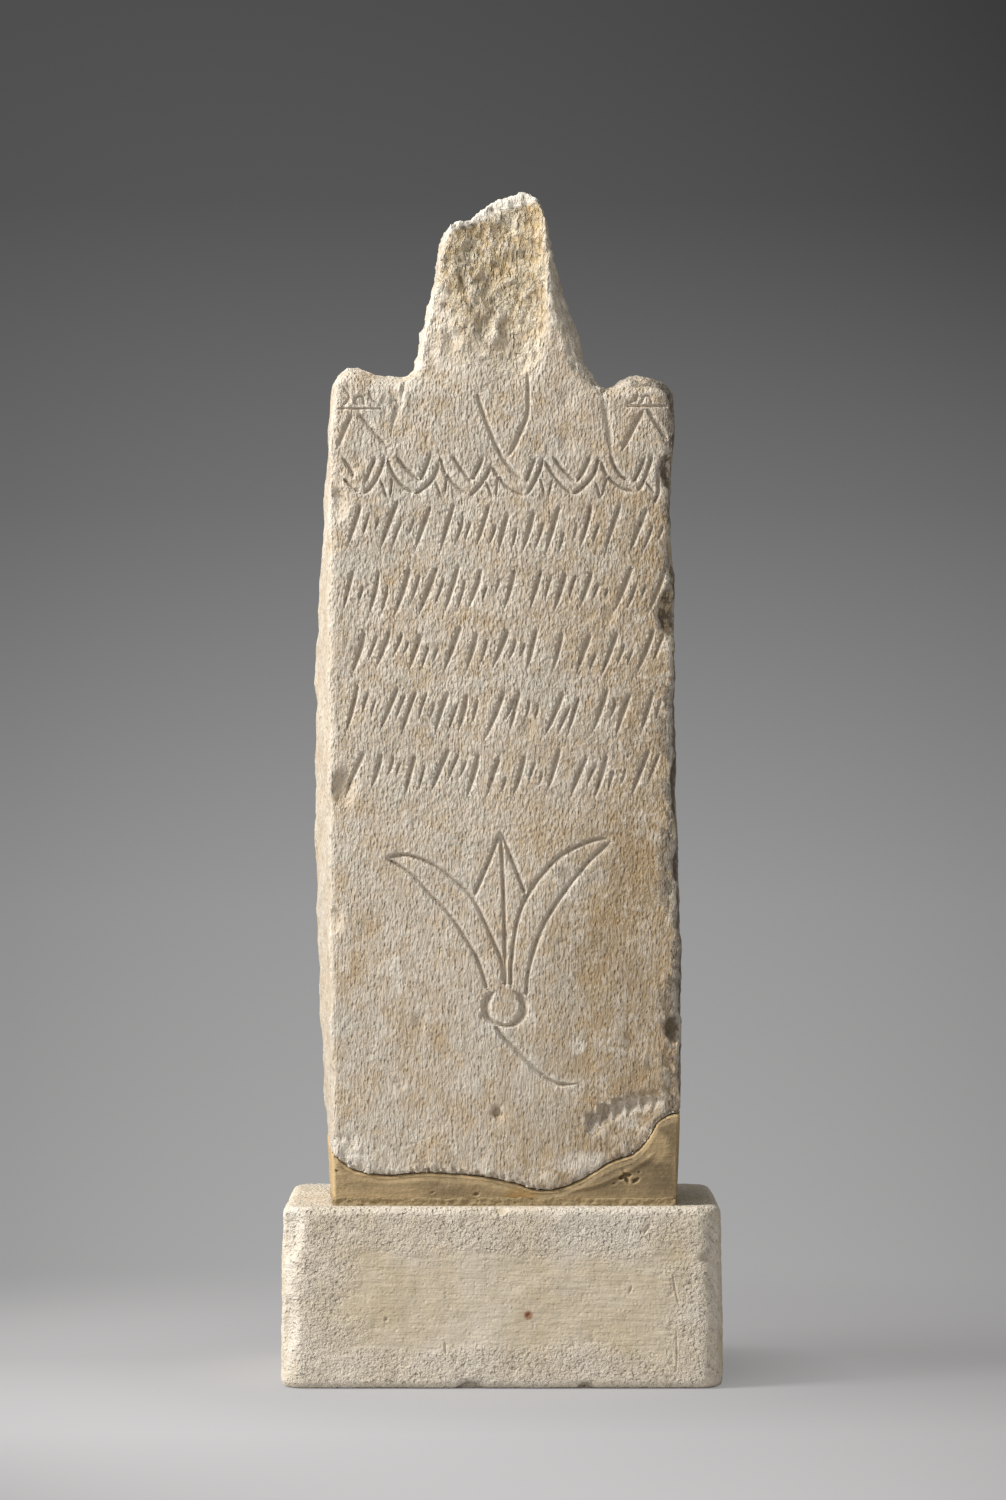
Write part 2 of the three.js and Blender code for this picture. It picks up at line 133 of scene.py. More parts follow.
class SteleCarving(bpy.types.PropertyGroup):
    line_width: length("Line width", "Width of the lines of lotus and signs", 2.2)
    line_depth: length("Line depth", "Depth of those lines", 1.35)
    stroke_width: length("Stroke width", "Width of the strokes in rows and frieze at their widest", 2.7)
    stroke_depth: length("Stroke depth", "Depth of those strokes", 2.0)
    stroke_height: length("Stroke height", "Height of a row's strokes", 20)
    row_pitch: length("Row pitch", "Distance from row to row", 26.45)
    first_row: length("First row", "Height of the top row above the plaster foot", 288.8)
    mark_pitch: length("Mark pitch", "Distance from mark to mark along a row", 10.4)
    rows: bpy.props.IntProperty(name="Rows", description="Number of rows of strokes", default=5, min=0)
    seed: bpy.props.IntProperty(name="Seed", description="Seed of the hand's irregularity", default=11)


class SteleWeathering(bpy.types.PropertyGroup):
    stone_mesh: length("Stone mesh", "Size of a face on the stone, away from the carving", 1.25)
    plinth_mesh: length("Plinth mesh", "Size of a face on the plinth", 1.15)
    filler_mesh: length("Filler mesh", "Size of a face on the plaster", 1.0)
    bed_mesh: length("Bed mesh", "Size of a face on the mortar", 0.55)
    swell: length("Swell", "How far the dressed face waves", 0.55)
    fall: length("Fall", "How far the dressed face falls back towards its right edge", 1.3)
    grain: length("Grain", "Depth of the tooling on stone", 0.2)
    pit_depth: length("Pit depth", "Depth of the pits in stone", 0.7)
    break_roughness: length("Break roughness", "Roughness of broken stone", 1.1)


class SteleColours(bpy.types.PropertyGroup):
    sand: colour("Sand", "Main colour of the limestone", "#cabca8")
    ochre: colour("Ochre", "Iron-stained patches of the limestone", "#b99c72")
    ash: colour("Ash", "Pale grey, leached patches of the limestone", "#c6bcac")
    # Tan is partly painted shade, where the key light falls off towards the right edge.
    tan: colour("Tan", "Dull brown towards the right edge", "#a79377")
    # Fresh is also painted highlight: on the walls of the cuts, on edges, on the crest, in the gouge's hollow
    # and on the right rim.
    fresh_and_lit: colour("Fresh", "Worn edges and fresh breaks", "#e0d7c8")
    cream: colour("Cream", "Bare stone in the old break of the pinnacle", "#d3c3a4")
    scar: colour("Scar", "Ochre dust in that break", "#caab77")
    soot: colour("Soot", "Dark crust on the right edge", "#5f564a")
    plaster: colour("Plaster", "Toned plaster of the foot", "#9f8965")
    mortar: colour("Mortar", "Bed under the foot", "#a28e6b")
    adhesive: colour("Adhesive", "Smear of aged resin on the foot", "#a0762f")
    plinth: colour("Plinth stone", "Main colour of the plinth", "#d8cdbc")
    plinth_tan: colour("Plinth tan", "Rubbed, tanned zones of the plinth", "#c6b596")
    rust: colour("Rust", "Iron fleck in the plinth", "#8f5b3a")
    steel: colour("Steel", "Drawn steel of the dowels", "#b9babc")
    resin: colour("Resin", "Cured resin round the dowels", "#d3b878")
    floor: colour("Floor", "Studio floor", "#b6b4b4")


class SteleStudio(bpy.types.PropertyGroup):
    key_level: light_level("Key level", "Light of the key lamp on a surface that faces it", 1.5)
    key_size: length("Key size", "Side of the key lamp", 700)
    fill_level: light_level("Fill level", "Light of the fill lamp on a surface that faces it", 0.15)
    sky_level: light_level("Sky level", "Even light from all round", 0.3)
    camera_distance: length("Camera distance", "From the axis of the stele to the camera", 2161)
    camera_height: length("Camera height", "Of the level camera above the floor", 274.8)


class Net:
    """Adds nodes to a tree. Its methods return the sockets that hold their result, but node returns the node
    itself and surface returns nothing."""

    def __init__(self, tree):
        self.tree = tree

    def node(self, kind, inputs=None, **settings):
        """Adds a node. An input is given by name or number, as its value or as the socket that feeds it."""
        made = self.tree.nodes.new(kind)
        for name, value in settings.items():
            setattr(made, name, value)
        for key, value in (inputs or {}).items():
            if isinstance(value, bpy.types.NodeSocket):
                self.tree.links.new(value, made.inputs[key])
            else:
                made.inputs[key].default_value = value
        return made

    def math(self, operation, *values, clamp=False):
        inputs = dict(enumerate(values))
        return self.node("ShaderNodeMath", inputs, operation=operation, use_clamp=clamp).outputs[0]

    def times(self, one, other, clamp=False):
        return self.math("MULTIPLY", one, other, clamp=clamp)

    def remap(self, value, low, high, start=0.0, end=1.0, smooth=False):
        """start where the value is low, end where it is high, and evenly or smoothly between."""
        inputs = {"Value": value, 1: low, 2: high, 3: start, 4: end}
        kind = "SMOOTHSTEP" if smooth else "LINEAR"
        return self.node("ShaderNodeMapRange", inputs, interpolation_type=kind).outputs[0]

    def noise(self, vector, millimetres, detail, roughness=0.5, distortion=0.0, out="Fac"):
        """Noise whose pattern has that size."""
        return self.node("ShaderNodeTexNoise", {
            "Vector": vector, "Scale": 1 / (millimetres * MM), "Detail": detail, "Roughness": roughness,
            "Distortion": distortion}).outputs[out]

    def blend(self, share, one, other):
        """A number between two."""
        return self.node("ShaderNodeMix", {0: share, 2: one, 3: other}).outputs[0]

    def mix(self, share, one, other):
        """A colour between two, each a socket or red, green and blue."""
        one, other = (c if isinstance(c, bpy.types.NodeSocket) else (*c, 1) for c in (one, other))
        return self.node("ShaderNodeMix", {0: share, 6: one, 7: other}, data_type="RGBA").outputs[2]

    def attribute(self, name):
        """In a material, what the mesh stores under that name."""
        return self.node("ShaderNodeAttribute", attribute_name=name).outputs["Fac"]

    def named(self, name):
        """In a geometry group, what the mesh stores under that name."""
        found = self.node("GeometryNodeInputNamedAttribute", {"Name": name}, data_type="FLOAT")
        return found.outputs["Attribute"]

    def parts(self, vector):
        return self.node("ShaderNodeSeparateXYZ", {"Vector": vector}).outputs

    def vector(self, operation, one, other):
        return self.node("ShaderNodeVectorMath", {0: one, 1: other}, operation=operation).outputs[0]

    def scaled(self, vector, factor):
        return self.node("ShaderNodeVectorMath", {0: vector, "Scale": factor}, operation="SCALE").outputs[0]

    def distance(self, one, other):
        inputs = {0: one, 1: other}
        return self.node("ShaderNodeVectorMath", inputs, operation="DISTANCE").outputs["Value"]

    def stretched(self, vector, scale):
        return self.node("ShaderNodeMapping", {"Vector": vector, "Scale": scale}).outputs["Vector"]

    def pits(self, place, spacing, share):
        """Small round pits at that spacing, in millimetres: 1 at a pit's middle and 0 outside. Their depths
        vary, and the share is that of the cells that hold one."""
        cell = self.node("ShaderNodeTexVoronoi", {"Vector": place, "Scale": 1 / (spacing * MM)}).outputs
        chance = self.parts(cell["Color"])["X"]
        bowl = self.remap(cell["Distance"], 0.05, 0.55, 1, 0, smooth=True)
        return self.times(bowl, self.remap(chance, 1 - share, 1))

    def bump(self, height, millimetres, normal=None, invert=False):
        """Relief of that depth, on top of the one given as normal."""
        inputs = {"Height": height, "Strength": 1.0, "Distance": millimetres * MM}
        if normal:
            inputs["Normal"] = normal
        return self.node("ShaderNodeBump", inputs, invert=invert).outputs["Normal"]

    def surface(self, tone, relief, **constants):
        """The material's shader and its output. A constant's name has low lines for spaces."""
        inputs = {name.replace("_", " "): value for name, value in constants.items()}
        shader = self.node("ShaderNodeBsdfPrincipled", {"Base Color": tone, "Normal": relief, **inputs})
        self.node("ShaderNodeOutputMaterial", {"Surface": shader.outputs["BSDF"]})


def geometry_group(name, numbers, others):
    """A Geometry Nodes group with the named inputs: its net and the sockets of its inputs."""
    tree = bpy.data.node_groups.new(name, "GeometryNodeTree")
    tree.interface.new_socket("Geometry", in_out="OUTPUT", socket_type="NodeSocketGeometry")
    kinds = {"Geometry": "Geometry", **dict.fromkeys(numbers, "Float"), **others, "Material": "Material"}
    for label, kind in kinds.items():
        tree.interface.new_socket(label, in_out="INPUT", socket_type="NodeSocket" + kind)
    net = Net(tree)
    return net, net.node("NodeGroupInput").outputs


def finish_group(net, given, moves):
    """Moves the points, makes the result real, gives it the material and passes it on."""
    moved = net.node("GeometryNodeSetPosition", moves).outputs["Geometry"]
    real = net.node("GeometryNodeRealizeInstances", {"Geometry": moved}).outputs["Geometry"]
    painted = net.node("GeometryNodeSetMaterial", {"Geometry": real, "Material": given["Material"]})
    net.node("NodeGroupOutput", {"Geometry": painted.outputs["Geometry"]})
    return net.tree


def run_group(obj, tree, values):
    """Runs a group on the object and keeps the result as its plain mesh."""
    modifier = obj.modifiers.new(tree.name, "NODES")
    modifier.node_group = tree
    identifiers = {item.name: item.identifier for item in tree.interface.items_tree if item.in_out == "INPUT"}
    for label, value in values.items():
        modifier[identifiers[label]] = value
    make_plain(obj)


def make_plain(obj):
    """Turns the object with its modifiers into a plain mesh."""
    graph = bpy.context.evaluated_depsgraph_get()
    mesh = bpy.data.meshes.new_from_object(obj.evaluated_get(graph))
    old = obj.data
    obj.modifiers.clear()
    obj.data = mesh
    mesh.name = obj.name
    bpy.data.meshes.remove(old)


def column(mesh, name):
    """A float for each point of the mesh, as an array."""
    values = np.zeros(len(mesh.vertices), np.float32)
    mesh.attributes[name].data.foreach_get("value", values)
    return values


def keep_columns(mesh, **columns):
    """Stores named floats, each one for every point of the mesh or an array of them."""
    for name, values in columns.items():
        values = np.broadcast_to(np.asarray(values, np.float32), len(mesh.vertices))
        attribute = mesh.attributes.get(name) or mesh.attributes.new(name, "FLOAT", "POINT")
        attribute.data.foreach_set("value", np.ascontiguousarray(values))


def points_of(mesh):
    places = np.zeros(len(mesh.vertices) * 3, np.float32)
    mesh.vertices.foreach_get("co", places)
    return places.reshape(-1, 3).astype(float)


def keep_points(mesh, points):
    mesh.vertices.foreach_set("co", points.astype(np.float32).ravel())


def normals_of(mesh):
    directions = np.zeros(len(mesh.vertices) * 3, np.float32)
    mesh.vertex_normals.foreach_get("vector", directions)
    return directions.reshape(-1, 3).astype(float)


def edges_of(mesh):
    """The first and the second point of every edge."""
    pairs = np.zeros(len(mesh.edges) * 2, np.int32)
    mesh.edges.foreach_get("vertices", pairs)
    return pairs[0::2], pairs[1::2]


def ease(values, start, end):
    """0 before start, 1 after end and smooth between."""
    share = np.clip((values - start) / (end - start), 0, 1)
    return share * share * (3 - 2 * share)


def new_object(name, mesh):
    obj = bpy.data.objects.new(name, mesh)
    bpy.context.scene.collection.objects.link(obj)
    return obj


def even_copy(cad_node, name, face_size, shape=None):
    """A copy of a CAD node's mesh as a new object, rebuilt with even faces. Shape may add to it first."""
    bm = bmesh.new()
    bm.from_mesh(frame["nodes"][cad_node].data)
    bmesh.ops.remove_doubles(bm, verts=bm.verts, dist=1e-6)
    if shape:
        shape(bm)
    obj = new_object(name, bpy.data.meshes.new(name))
    bm.to_mesh(obj.data)
    bm.free()
    remesh = obj.modifiers.new("even faces", "REMESH")
    remesh.mode = "VOXEL"
    remesh.voxel_size = face_size
    remesh.use_smooth_shade = True
    make_plain(obj)
    return obj


def thin_back(obj):
    """Leaves fewer faces behind the front layer of the stone, where nothing is carved."""
    thinned = obj.vertex_groups.new(name="thinned")
    points = points_of(obj.data)
    behind = [int(i) for i in np.nonzero(points[:, 1] > FACE_Y + FRONT_LAYER)[0]]
    thinned.add(behind, 1.0, "REPLACE")
    decimate = obj.modifiers.new("thin the back", "DECIMATE")
    decimate.vertex_group = thinned.name
    decimate.ratio = 1 - (1 - BACK_KEPT) * len(behind) / len(points)
    make_plain(obj)
    obj.vertex_groups.clear()


def surface_of(cad_node):
    """The surface of a CAD node, for finding the nearest point or what a ray meets."""
    mesh = frame["nodes"][cad_node].data
    return BVHTree.FromPolygons([v.co for v in mesh.vertices], [p.vertices for p in mesh.polygons])


def mark_joints(obj, neighbours, reach):
    """Stores calm, which is 1 where the piece meets a neighbour and keeps the surface as the CAD has it."""
    points = points_of(obj.data)
    calm = np.zeros(len(points))
    for name in neighbours:
        surface = surface_of(name)
        for i, point in enumerate(points):
            if surface.find_nearest(point, reach)[3] is not None:
                calm[i] = 1
    keep_columns(obj.data, calm=calm)


def smoothed(mesh, points, rounds):
    """The points after as many rounds in which each moves to the middle of those next to it."""
    one, other = edges_of(mesh)
    count = len(points)
    neighbours = np.bincount(one, minlength=count) + np.bincount(other, minlength=count)
    for _ in range(rounds):
        total = [
            np.bincount(one, points[other, axis], count) + np.bincount(other, points[one, axis], count)
            for axis in range(3)
        ]
        points = np.stack(total, 1) / np.maximum(neighbours, 1)[:, None]
    return points


def mark_wear(mesh, scale):
    """Stores edge and hollow, from 0 to 1: how far a point stands out from what lies round it, or back."""
    points = points_of(mesh)
    proud = ((points - smoothed(mesh, points, 3)) * normals_of(mesh)).sum(1) / scale
    keep_columns(mesh, edge=np.clip(proud, 0, 1), hollow=np.clip(-proud, 0, 1))


def finish_piece(obj, cad_node, material):
    """Holds a finished piece inside the CAD model's box and gives it material and place in the frame."""
    keep_points(obj.data, np.clip(points_of(obj.data), CAD_BOX[0], CAD_BOX[1]))
    obj.data.update()
    obj.data.materials.clear()
    obj.data.materials.append(material)
    obj.data.polygons.foreach_set("use_smooth", [True] * len(obj.data.polygons))
    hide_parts(cad_node)
    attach(obj, BODY)


# Carving. Every cut is a path on the face: across and up in millimetres, and the share of its full width.

def smooth_path(corners, step=0.5):
    """Points at about an even step along a smooth curve through the corners."""
    given = [Vector((*c, 1)[:3]) for c in corners]
    given = [2 * given[0] - given[1], *given, 2 * given[-1] - given[-2]]
    path = []
    for before, start, end, after in zip(given, given[1:], given[2:], given[3:]):
        count = max(1, round((end.xy - start.xy).length / step))
        for i in range(count):
            t = i / count
            path.append(0.5 * (
                2 * start + (end - before) * t + (2 * before - 5 * start + 4 * end - after) * t ** 2
                + (3 * start - before - 3 * end + after) * t ** 3))
    path.append(given[-2])
    return path


def cut(corners, width, depth, lead=1.5, tail=1.5):
    """One cut. Over lead and tail, in millimetres, it comes out of the surface at its ends."""
    path = smooth_path(corners)
    travelled = np.cumsum([0] + [(b.xy - a.xy).length for a, b in zip(path, path[1:])])
    shares = np.array([point.z for point in path])
    entry = 0.25 + 0.75 * ease(travelled, 0, lead)
    leaving = 0.25 + 0.75 * ease(travelled[-1] - travelled, 0, tail)
    form = np.clip(shares * entry * leaving, 0.05, None)
    return {"path": path, "half_width": form * width / 2, "depth": form * depth}


def cuts_of(paths, width, depth, lead, tail):
    return [cut(corners, width, depth, lead, tail) for corners in paths]


def lotus_cuts(width, depth):
    """Lotus flower: a pointed middle petal with its vein, two curved petals, the bulb and its stem."""
    petals = [
        [(-0.6, 158.6), (-6.5, 143.7), (-12.1, 130.8)],
        [(-0.6, 158.6), (4.7, 145.4), (10.2, 131.2)],
        [(-0.6, 158.0), (0.4, 137.7), (1.1, 113.9), (1.3, 91.5)],
        [(-50.1, 147.2), (-38.9, 139.8), (-31.1, 131.6), (-22.9, 123), (-14.7, 110.9), (-9.9, 101.8),
         (-6.4, 90.2)],
        [(-50.1, 147.2), (-43.6, 148.5), (-36.7, 147.2), (-28.5, 143.3), (-19.4, 136.4), (-12.5, 129.5),
         (-7.8, 120.4), (-3, 109.6), (0, 101.8), (0.6, 93.6)],
        [(45.3, 155.4), (41.9, 155.4), (35, 153.2), (25.9, 148.5), (19, 142), (12.1, 132.9), (7.3, 122.6),
         (5.2, 112.2), (3.9, 100.6), (3.9, 91.5)],
        [(47.1, 154.5), (39.7, 148), (31.5, 138.5), (23.3, 127.3), (17.7, 117.8), (13.8, 107.5),
         (11.2, 97.1), (10.4, 87.6)],
    ]
    bulb = []
    for step in range(29):
        turn = math.radians(115 + 310 * step / 28)
        side = abs(math.cos(turn)) ** 1.5
        bulb.append((1.2 + 8.4 * math.cos(turn), 82.6 + 8.0 * math.sin(turn), 1.05 + 0.75 * side))
    stem = [(-3, 74.7), (1.7, 68.6), (8.6, 61.7), (15.5, 54.8), (22.4, 50), (28.1, 49.2), (34.1, 50)]
    return [
        *cuts_of(petals, width, depth, 3, 1.5),
        cut(bulb, width, depth * 0.8, 5, 5),
        cut(stem, width * 1.15, depth * 1.05, 1, 9),
    ]


def frieze_cuts(width, depth):
    """Frieze of swags: in each bay two nested angles, deeper at the right, and a dart below each peak."""
    deep = [
        [(-54.6, 320.6), (-56.6, 315.5), (-59.2, 309.2)],
        [(-50.6, 320.8), (-52.2, 315.5), (-54.4, 310.6), (-57, 307), (-60, 304.4)],
        [(-30.6, 322.5), (-32.4, 317), (-35.5, 310.2)],
        [(-27.2, 318.2), (-28.6, 313.5), (-31, 309.5), (-34.5, 306.4), (-37.8, 304.4)],
        [(-8.1, 321), (-10.2, 315.6), (-13.1, 310)],
        [(-4.6, 317.4), (-6.6, 312.4), (-9.4, 308.2), (-12.6, 304.8), (-14.2, 303.6)],
        [(14.5, 320.4), (12.6, 315.4), (10.4, 309.4)],
        [(17.7, 319.8), (16.2, 314.4), (13.6, 309), (10.8, 304.2)],
        [(38.2, 321.2), (35.8, 315.6), (32.2, 309.4)],
        [(41.7, 320.4), (40.2, 314.4), (37.6, 310.2), (34, 306.6), (30.4, 304.2)],
        [(61.8, 320.8), (59.8, 315.6), (56.8, 309.4)],
        [(65.1, 321.4), (63, 315), (61, 309.6), (58.2, 305.4)],
        [(70.2, 319.6), (67.7, 315), (67.5, 310), (67.4, 305), (65.4, 300.2)],
    ]
    shallow = [
        [(-69, 320.2), (-64.9, 314.2), (-64.4, 311.4)],
        [(-69, 311.6), (-65, 307.5), (-61.2, 304.6)],
        [(-49.7, 319.8), (-48, 315), (-45.6, 311), (-42.5, 307.6), (-38.2, 304.6)],
        [(-45.8, 320.8), (-42, 316), (-38, 312), (-35.4, 309.8)],
        [(-27.1, 320.8), (-25.2, 314.8), (-22, 310), (-18.5, 306.6), (-15.4, 304.6)],
        [(-21.7, 321.2), (-18, 315.6), (-14.6, 311), (-13, 309.2)],
        [(-4.7, 316.8), (-1.4, 311.6), (2, 307.6), (6, 305), (9.8, 303.4)],
        [(18.3, 318.8), (21, 314.4), (24.6, 309.4), (28, 306), (30.2, 304.4)],
        [(22.1, 320.6), (25.4, 315.8), (29.6, 311.6), (32, 309.4)],
        [(42.5, 319), (44.6, 313.6), (48, 309.6), (52, 306.8), (57, 305.4)],
        [(46.5, 322), (48.6, 316.4), (51.6, 312.2), (54.8, 309.6)],
    ]
    darts = [
        [(-52.7, 310.8), (-51.2, 307), (-49.9, 302.6)],
        [(-47.4, 311.7), (-47.8, 307), (-48.4, 303)],
        [(-28.9, 309.8), (-27.3, 306), (-26.2, 302.8)],
        [(-24, 313), (-24.3, 308), (-24.7, 304.2)],
        [(-7.3, 310), (-5.6, 306.4), (-4.1, 302.4)],
        [(-1.6, 312.8), (-2.2, 308), (-2.7, 302.6)],
        [(16.3, 311.6), (17.4, 308), (18.3, 303.6)],
        [(21.9, 311.2), (20.9, 307.4), (20.1, 303.2)],
        [(40.1, 309.8), (41.6, 306), (42.5, 302)],
        [(45.7, 312.2), (44.2, 307.6), (42.9, 302.6)],
        [(62, 309.8), (64.4, 306.8), (66, 304.6)],
    ]
    return [
        *cuts_of(deep, width, depth, 2, 1.5),
        *cuts_of(shallow, width * 0.98, depth * 0.9, 2, 1.5),
        *cuts_of(darts, width * 0.7, depth * 0.72, 2, 2),
    ]


def sign_cuts(width, depth):
    """The large angle that hangs from the pinnacle, the small crescent signs over a gable in the corners, and
    the grooves that set the corners off."""
    angle = [
        [(-11.2, 348.8), (-7.8, 338.4), (-3.5, 327.5), (0.5, 319.6), (4.4, 314.4), (9.6, 309.6)],
        [(11.2, 357.4), (11.2, 347.5), (10.8, 338.4), (6.5, 327.6), (3.2, 321)],
    ]
    gables = [
        [(-64.8, 339.3), (-71.7, 323.3)],
        [(-62.2, 339.3), (-48.8, 323.7)],
        [(61.1, 341), (51.2, 322.2)],
        [(62.6, 341), (72.1, 326.8)],
    ]
    small = [
        [(-71.7, 341.2), (-51.4, 341.2)],
        [(-68.6, 350.5), (-66.1, 346.2), (-68.6, 342.3)],
        [(-57.8, 349.2), (-56.1, 345.3), (-52.2, 342.3)],
        [(-63.5, 342.7), (-63, 345.8), (-61.2, 346.6), (-60, 345.8), (-59.6, 342.3)],
        [(53.5, 342.3), (71.7, 342.3)],
        [(58.7, 348.3), (57.6, 345.2), (54, 343.4)],
        [(60, 343.2), (61.3, 346.2), (62.6, 346.9), (63.9, 346.2), (64.8, 343.2)],
    ]
    scratches = [
        [(-51.8, 322.9), (-38.9, 329.4)],
        [(-46.2, 34.1), (-33.2, 24.6)],
        [(-44, 22), (-30.2, 27.2)],
        [(-56, 118), (-55.2, 128)],
        [(-61, 108), (-60, 121)],
    ]
    splinters = [
        [(31.6, 366.4), (36.4, 360.6), (40.4, 356.4)],
        [(34.2, 360.4), (39, 354.8), (43, 349.6)],
        [(36.2, 355.6), (40.2, 351.4), (43.4, 345.4)],
        [(30, 361.2), (33, 357.4)],
    ]
    grooves = [
        [(42.4, 351), (44.2, 343.6), (45.8, 334.1), (47.4, 321.2)],
        [(-41.6, 354), (-43.4, 346), (-46.2, 338), (-47.8, 331)],
    ]
    return [
        *cuts_of(angle, width * 1.15, depth * 1.15, 3, 4),
        *cuts_of(gables, width * 1.25, depth * 1.15, 2, 4),
        *cuts_of(small, width * 0.7, depth * 0.75, 1, 1),
        *cuts_of(scratches, width * 0.56, depth * 0.22, 4, 4),
        *cuts_of(splinters, width * 0.8, depth * 0.7, 2, 3),
        *cuts_of(grooves, width * 1.7, depth * 0.8, 3, 6),
    ]


def row_cuts(carving, rng):
    """Rows of slanted chisel strokes, long ones with thin short ones beside them."""
    height = carving.stroke_height / MM
    width = carving.stroke_width / MM
    depth = carving.stroke_depth / MM
    pitch = carving.mark_pitch / MM
    cuts = []

    def stroke(across, low, tall, broad, lean):
        shift = tall * math.tan(math.radians(lean))
        bow = rng.uniform(-0.5, 0.5)
        corners = [
            (across + shift, low + tall, 0.8), (across + shift * 0.7 + bow, low + tall * 0.7, 1.1),
            (across + shift * 0.35 + bow, low + tall * 0.35, 0.9), (across, low, 0.3),
        ]
        cuts.append(cut(corners, width * broad, depth * min(1, broad * 1.15), 1.2, tall * 0.35))

    for row in range(carving.rows):
        middle = (carving.first_row - row * carving.row_pitch) / MM
        across = -69 + rng.uniform(0, 3)
        while across < 64:
            tall = height * rng.uniform(0.84, 1.2)
            low = middle - tall * 0.52 + rng.uniform(-1.6, 1.6)
            lean = rng.uniform(13, 23)
            slope = math.tan(math.radians(lean))
            stroke(across, low, tall, rng.uniform(0.9, 1.1), lean)
            kind = rng.random()
            if kind < 0.85 and across < 61:
                part = tall * rng.uniform(0.42, 0.68)
                start = low + (tall - part) * rng.uniform(0.1, 0.9)
                beside = across + (start - low) * slope + rng.uniform(4.9, 5.5)
                stroke(beside, start, part, 0.68, lean + rng.uniform(-2, 3))
            if kind < 0.3 and across < 57:
                part = tall * rng.uniform(0.3, 0.42)
                start = low + tall * rng.uniform(0.25, 0.45)
                stroke(across + (start - low) * slope + 9.6, start, part, 0.6, lean)
                across += 4.4
            across += pitch * rng.uniform(0.94, 1.08)
    return cuts


def broken_edge(step):
    """Where the stone's broken underside meets its face: (across, up) in millimetres, from left to right."""
    surface = surface_of("stele_stone")
    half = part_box("plaster_foot")[1][0]
    line = []
    for across in np.arange(-half, half, step * MM):
        met = surface.ray_cast((across, FACE_Y + 0.6 * MM, FOOT_Z - MM), (0, 0, 1))[0]
        if met:
            line.append((across / MM, (met.z - FOOT_Z) / MM))
    return line


def gouge_cuts():
    """The blows of a gouge side by side over the break at the right, as (across, top, low, width, depth)."""
    blows = [
        (38.8, 37.4, 29.4, 6.8, 3.1), (44, 41.6, 31.6, 7.0, 3.4), (50, 44, 34, 7.0, 2.9),
        (56.2, 44.8, 35.4, 7.0, 2.4), (61.8, 44.4, 36.2, 6.4, 1.7), (66.6, 44, 37.4, 5.4, 1.2),
    ]
    return [
        cut([(across + 0.6, top), (across, (top + low) / 2), (across - 1.4, low)], wide, deep, 1.7, 6)
        for across, top, low, wide, deep in blows
    ]


def chip_cuts(edge, rng):
    """Chips along a broken edge: short scallops of uneven size, just above it."""
    cuts = []
    for across, up in edge:
        wide, rise = rng.uniform(1.6, 4.4), rng.uniform(-0.4, 1.2)
        if rng.random() < 0.7:
            corners = [(across, up + rise), (across + rng.uniform(1, 3), up + rise + rng.uniform(-0.6, 0.6))]
            cuts.append(cut(corners, wide, rng.uniform(0.5, 1.6), 1, 1))
    return cuts


def stone_cuts(carving, edge):
    """All cuts in the stone. The lotus is cut deeper than the signs, the frieze narrower than the rows."""
    line, deep = carving.line_width / MM, carving.line_depth / MM
    broad, low = carving.stroke_width / MM, carving.stroke_depth / MM
    return [
        *lotus_cuts(line * 1.1, deep * 1.35), *frieze_cuts(broad * 0.85, low), *sign_cuts(line, deep),
        *row_cuts(carving, random.Random(carving.seed)), *chip_cuts(edge, random.Random(carving.seed)),
        *gouge_cuts(),
    ]


def draw_paths(obj, cuts, face, base, reach, layer, divisions=1):
    """A new object with an edge along every cut, at the face, with half_width and cut_depth at each point.
    The faces of the piece within reach of it, and no deeper than the layer, are divided, for clean sides."""
    points, edges, widths, depths = [], [], [], []
    for item in cuts:
        first = len(points)
        points += [(p.x * MM, face, base + p.y * MM) for p in item["path"]]
        edges += [(i, i + 1) for i in range(first, len(points) - 1)]
        widths += [w * MM for w in item["half_width"]]
        depths += [d * MM for d in item["depth"]]
    paths = new_object("paths of the tool", bpy.data.meshes.new("paths of the tool"))
    paths.data.from_pydata(points, edges, [])
    keep_columns(paths.data, half_width=widths, cut_depth=depths)

    tree = KDTree(len(paths.data.vertices))
    for i, vertex in enumerate(paths.data.vertices):
        tree.insert((vertex.co.x, 0, vertex.co.z), i)
    tree.balance()
    bm = bmesh.new()
    bm.from_mesh(obj.data)
    near = set()
    for polygon in bm.faces:
        middle = polygon.calc_center_median()
        to_front = middle.y < face + layer and polygon.normal.y < -0.2
        if to_front and tree.find((middle.x, 0, middle.z))[2] < reach:
            near.update(polygon.edges)
    bmesh.ops.subdivide_edges(bm, edges=list(near), cuts=divisions, use_grid_fill=True)
    bmesh.ops.triangulate(bm, faces=[polygon for polygon in bm.faces if len(polygon.verts) > 4])
    bm.to_mesh(obj.data)
    bm.free()
    obj.data.update()
    return paths


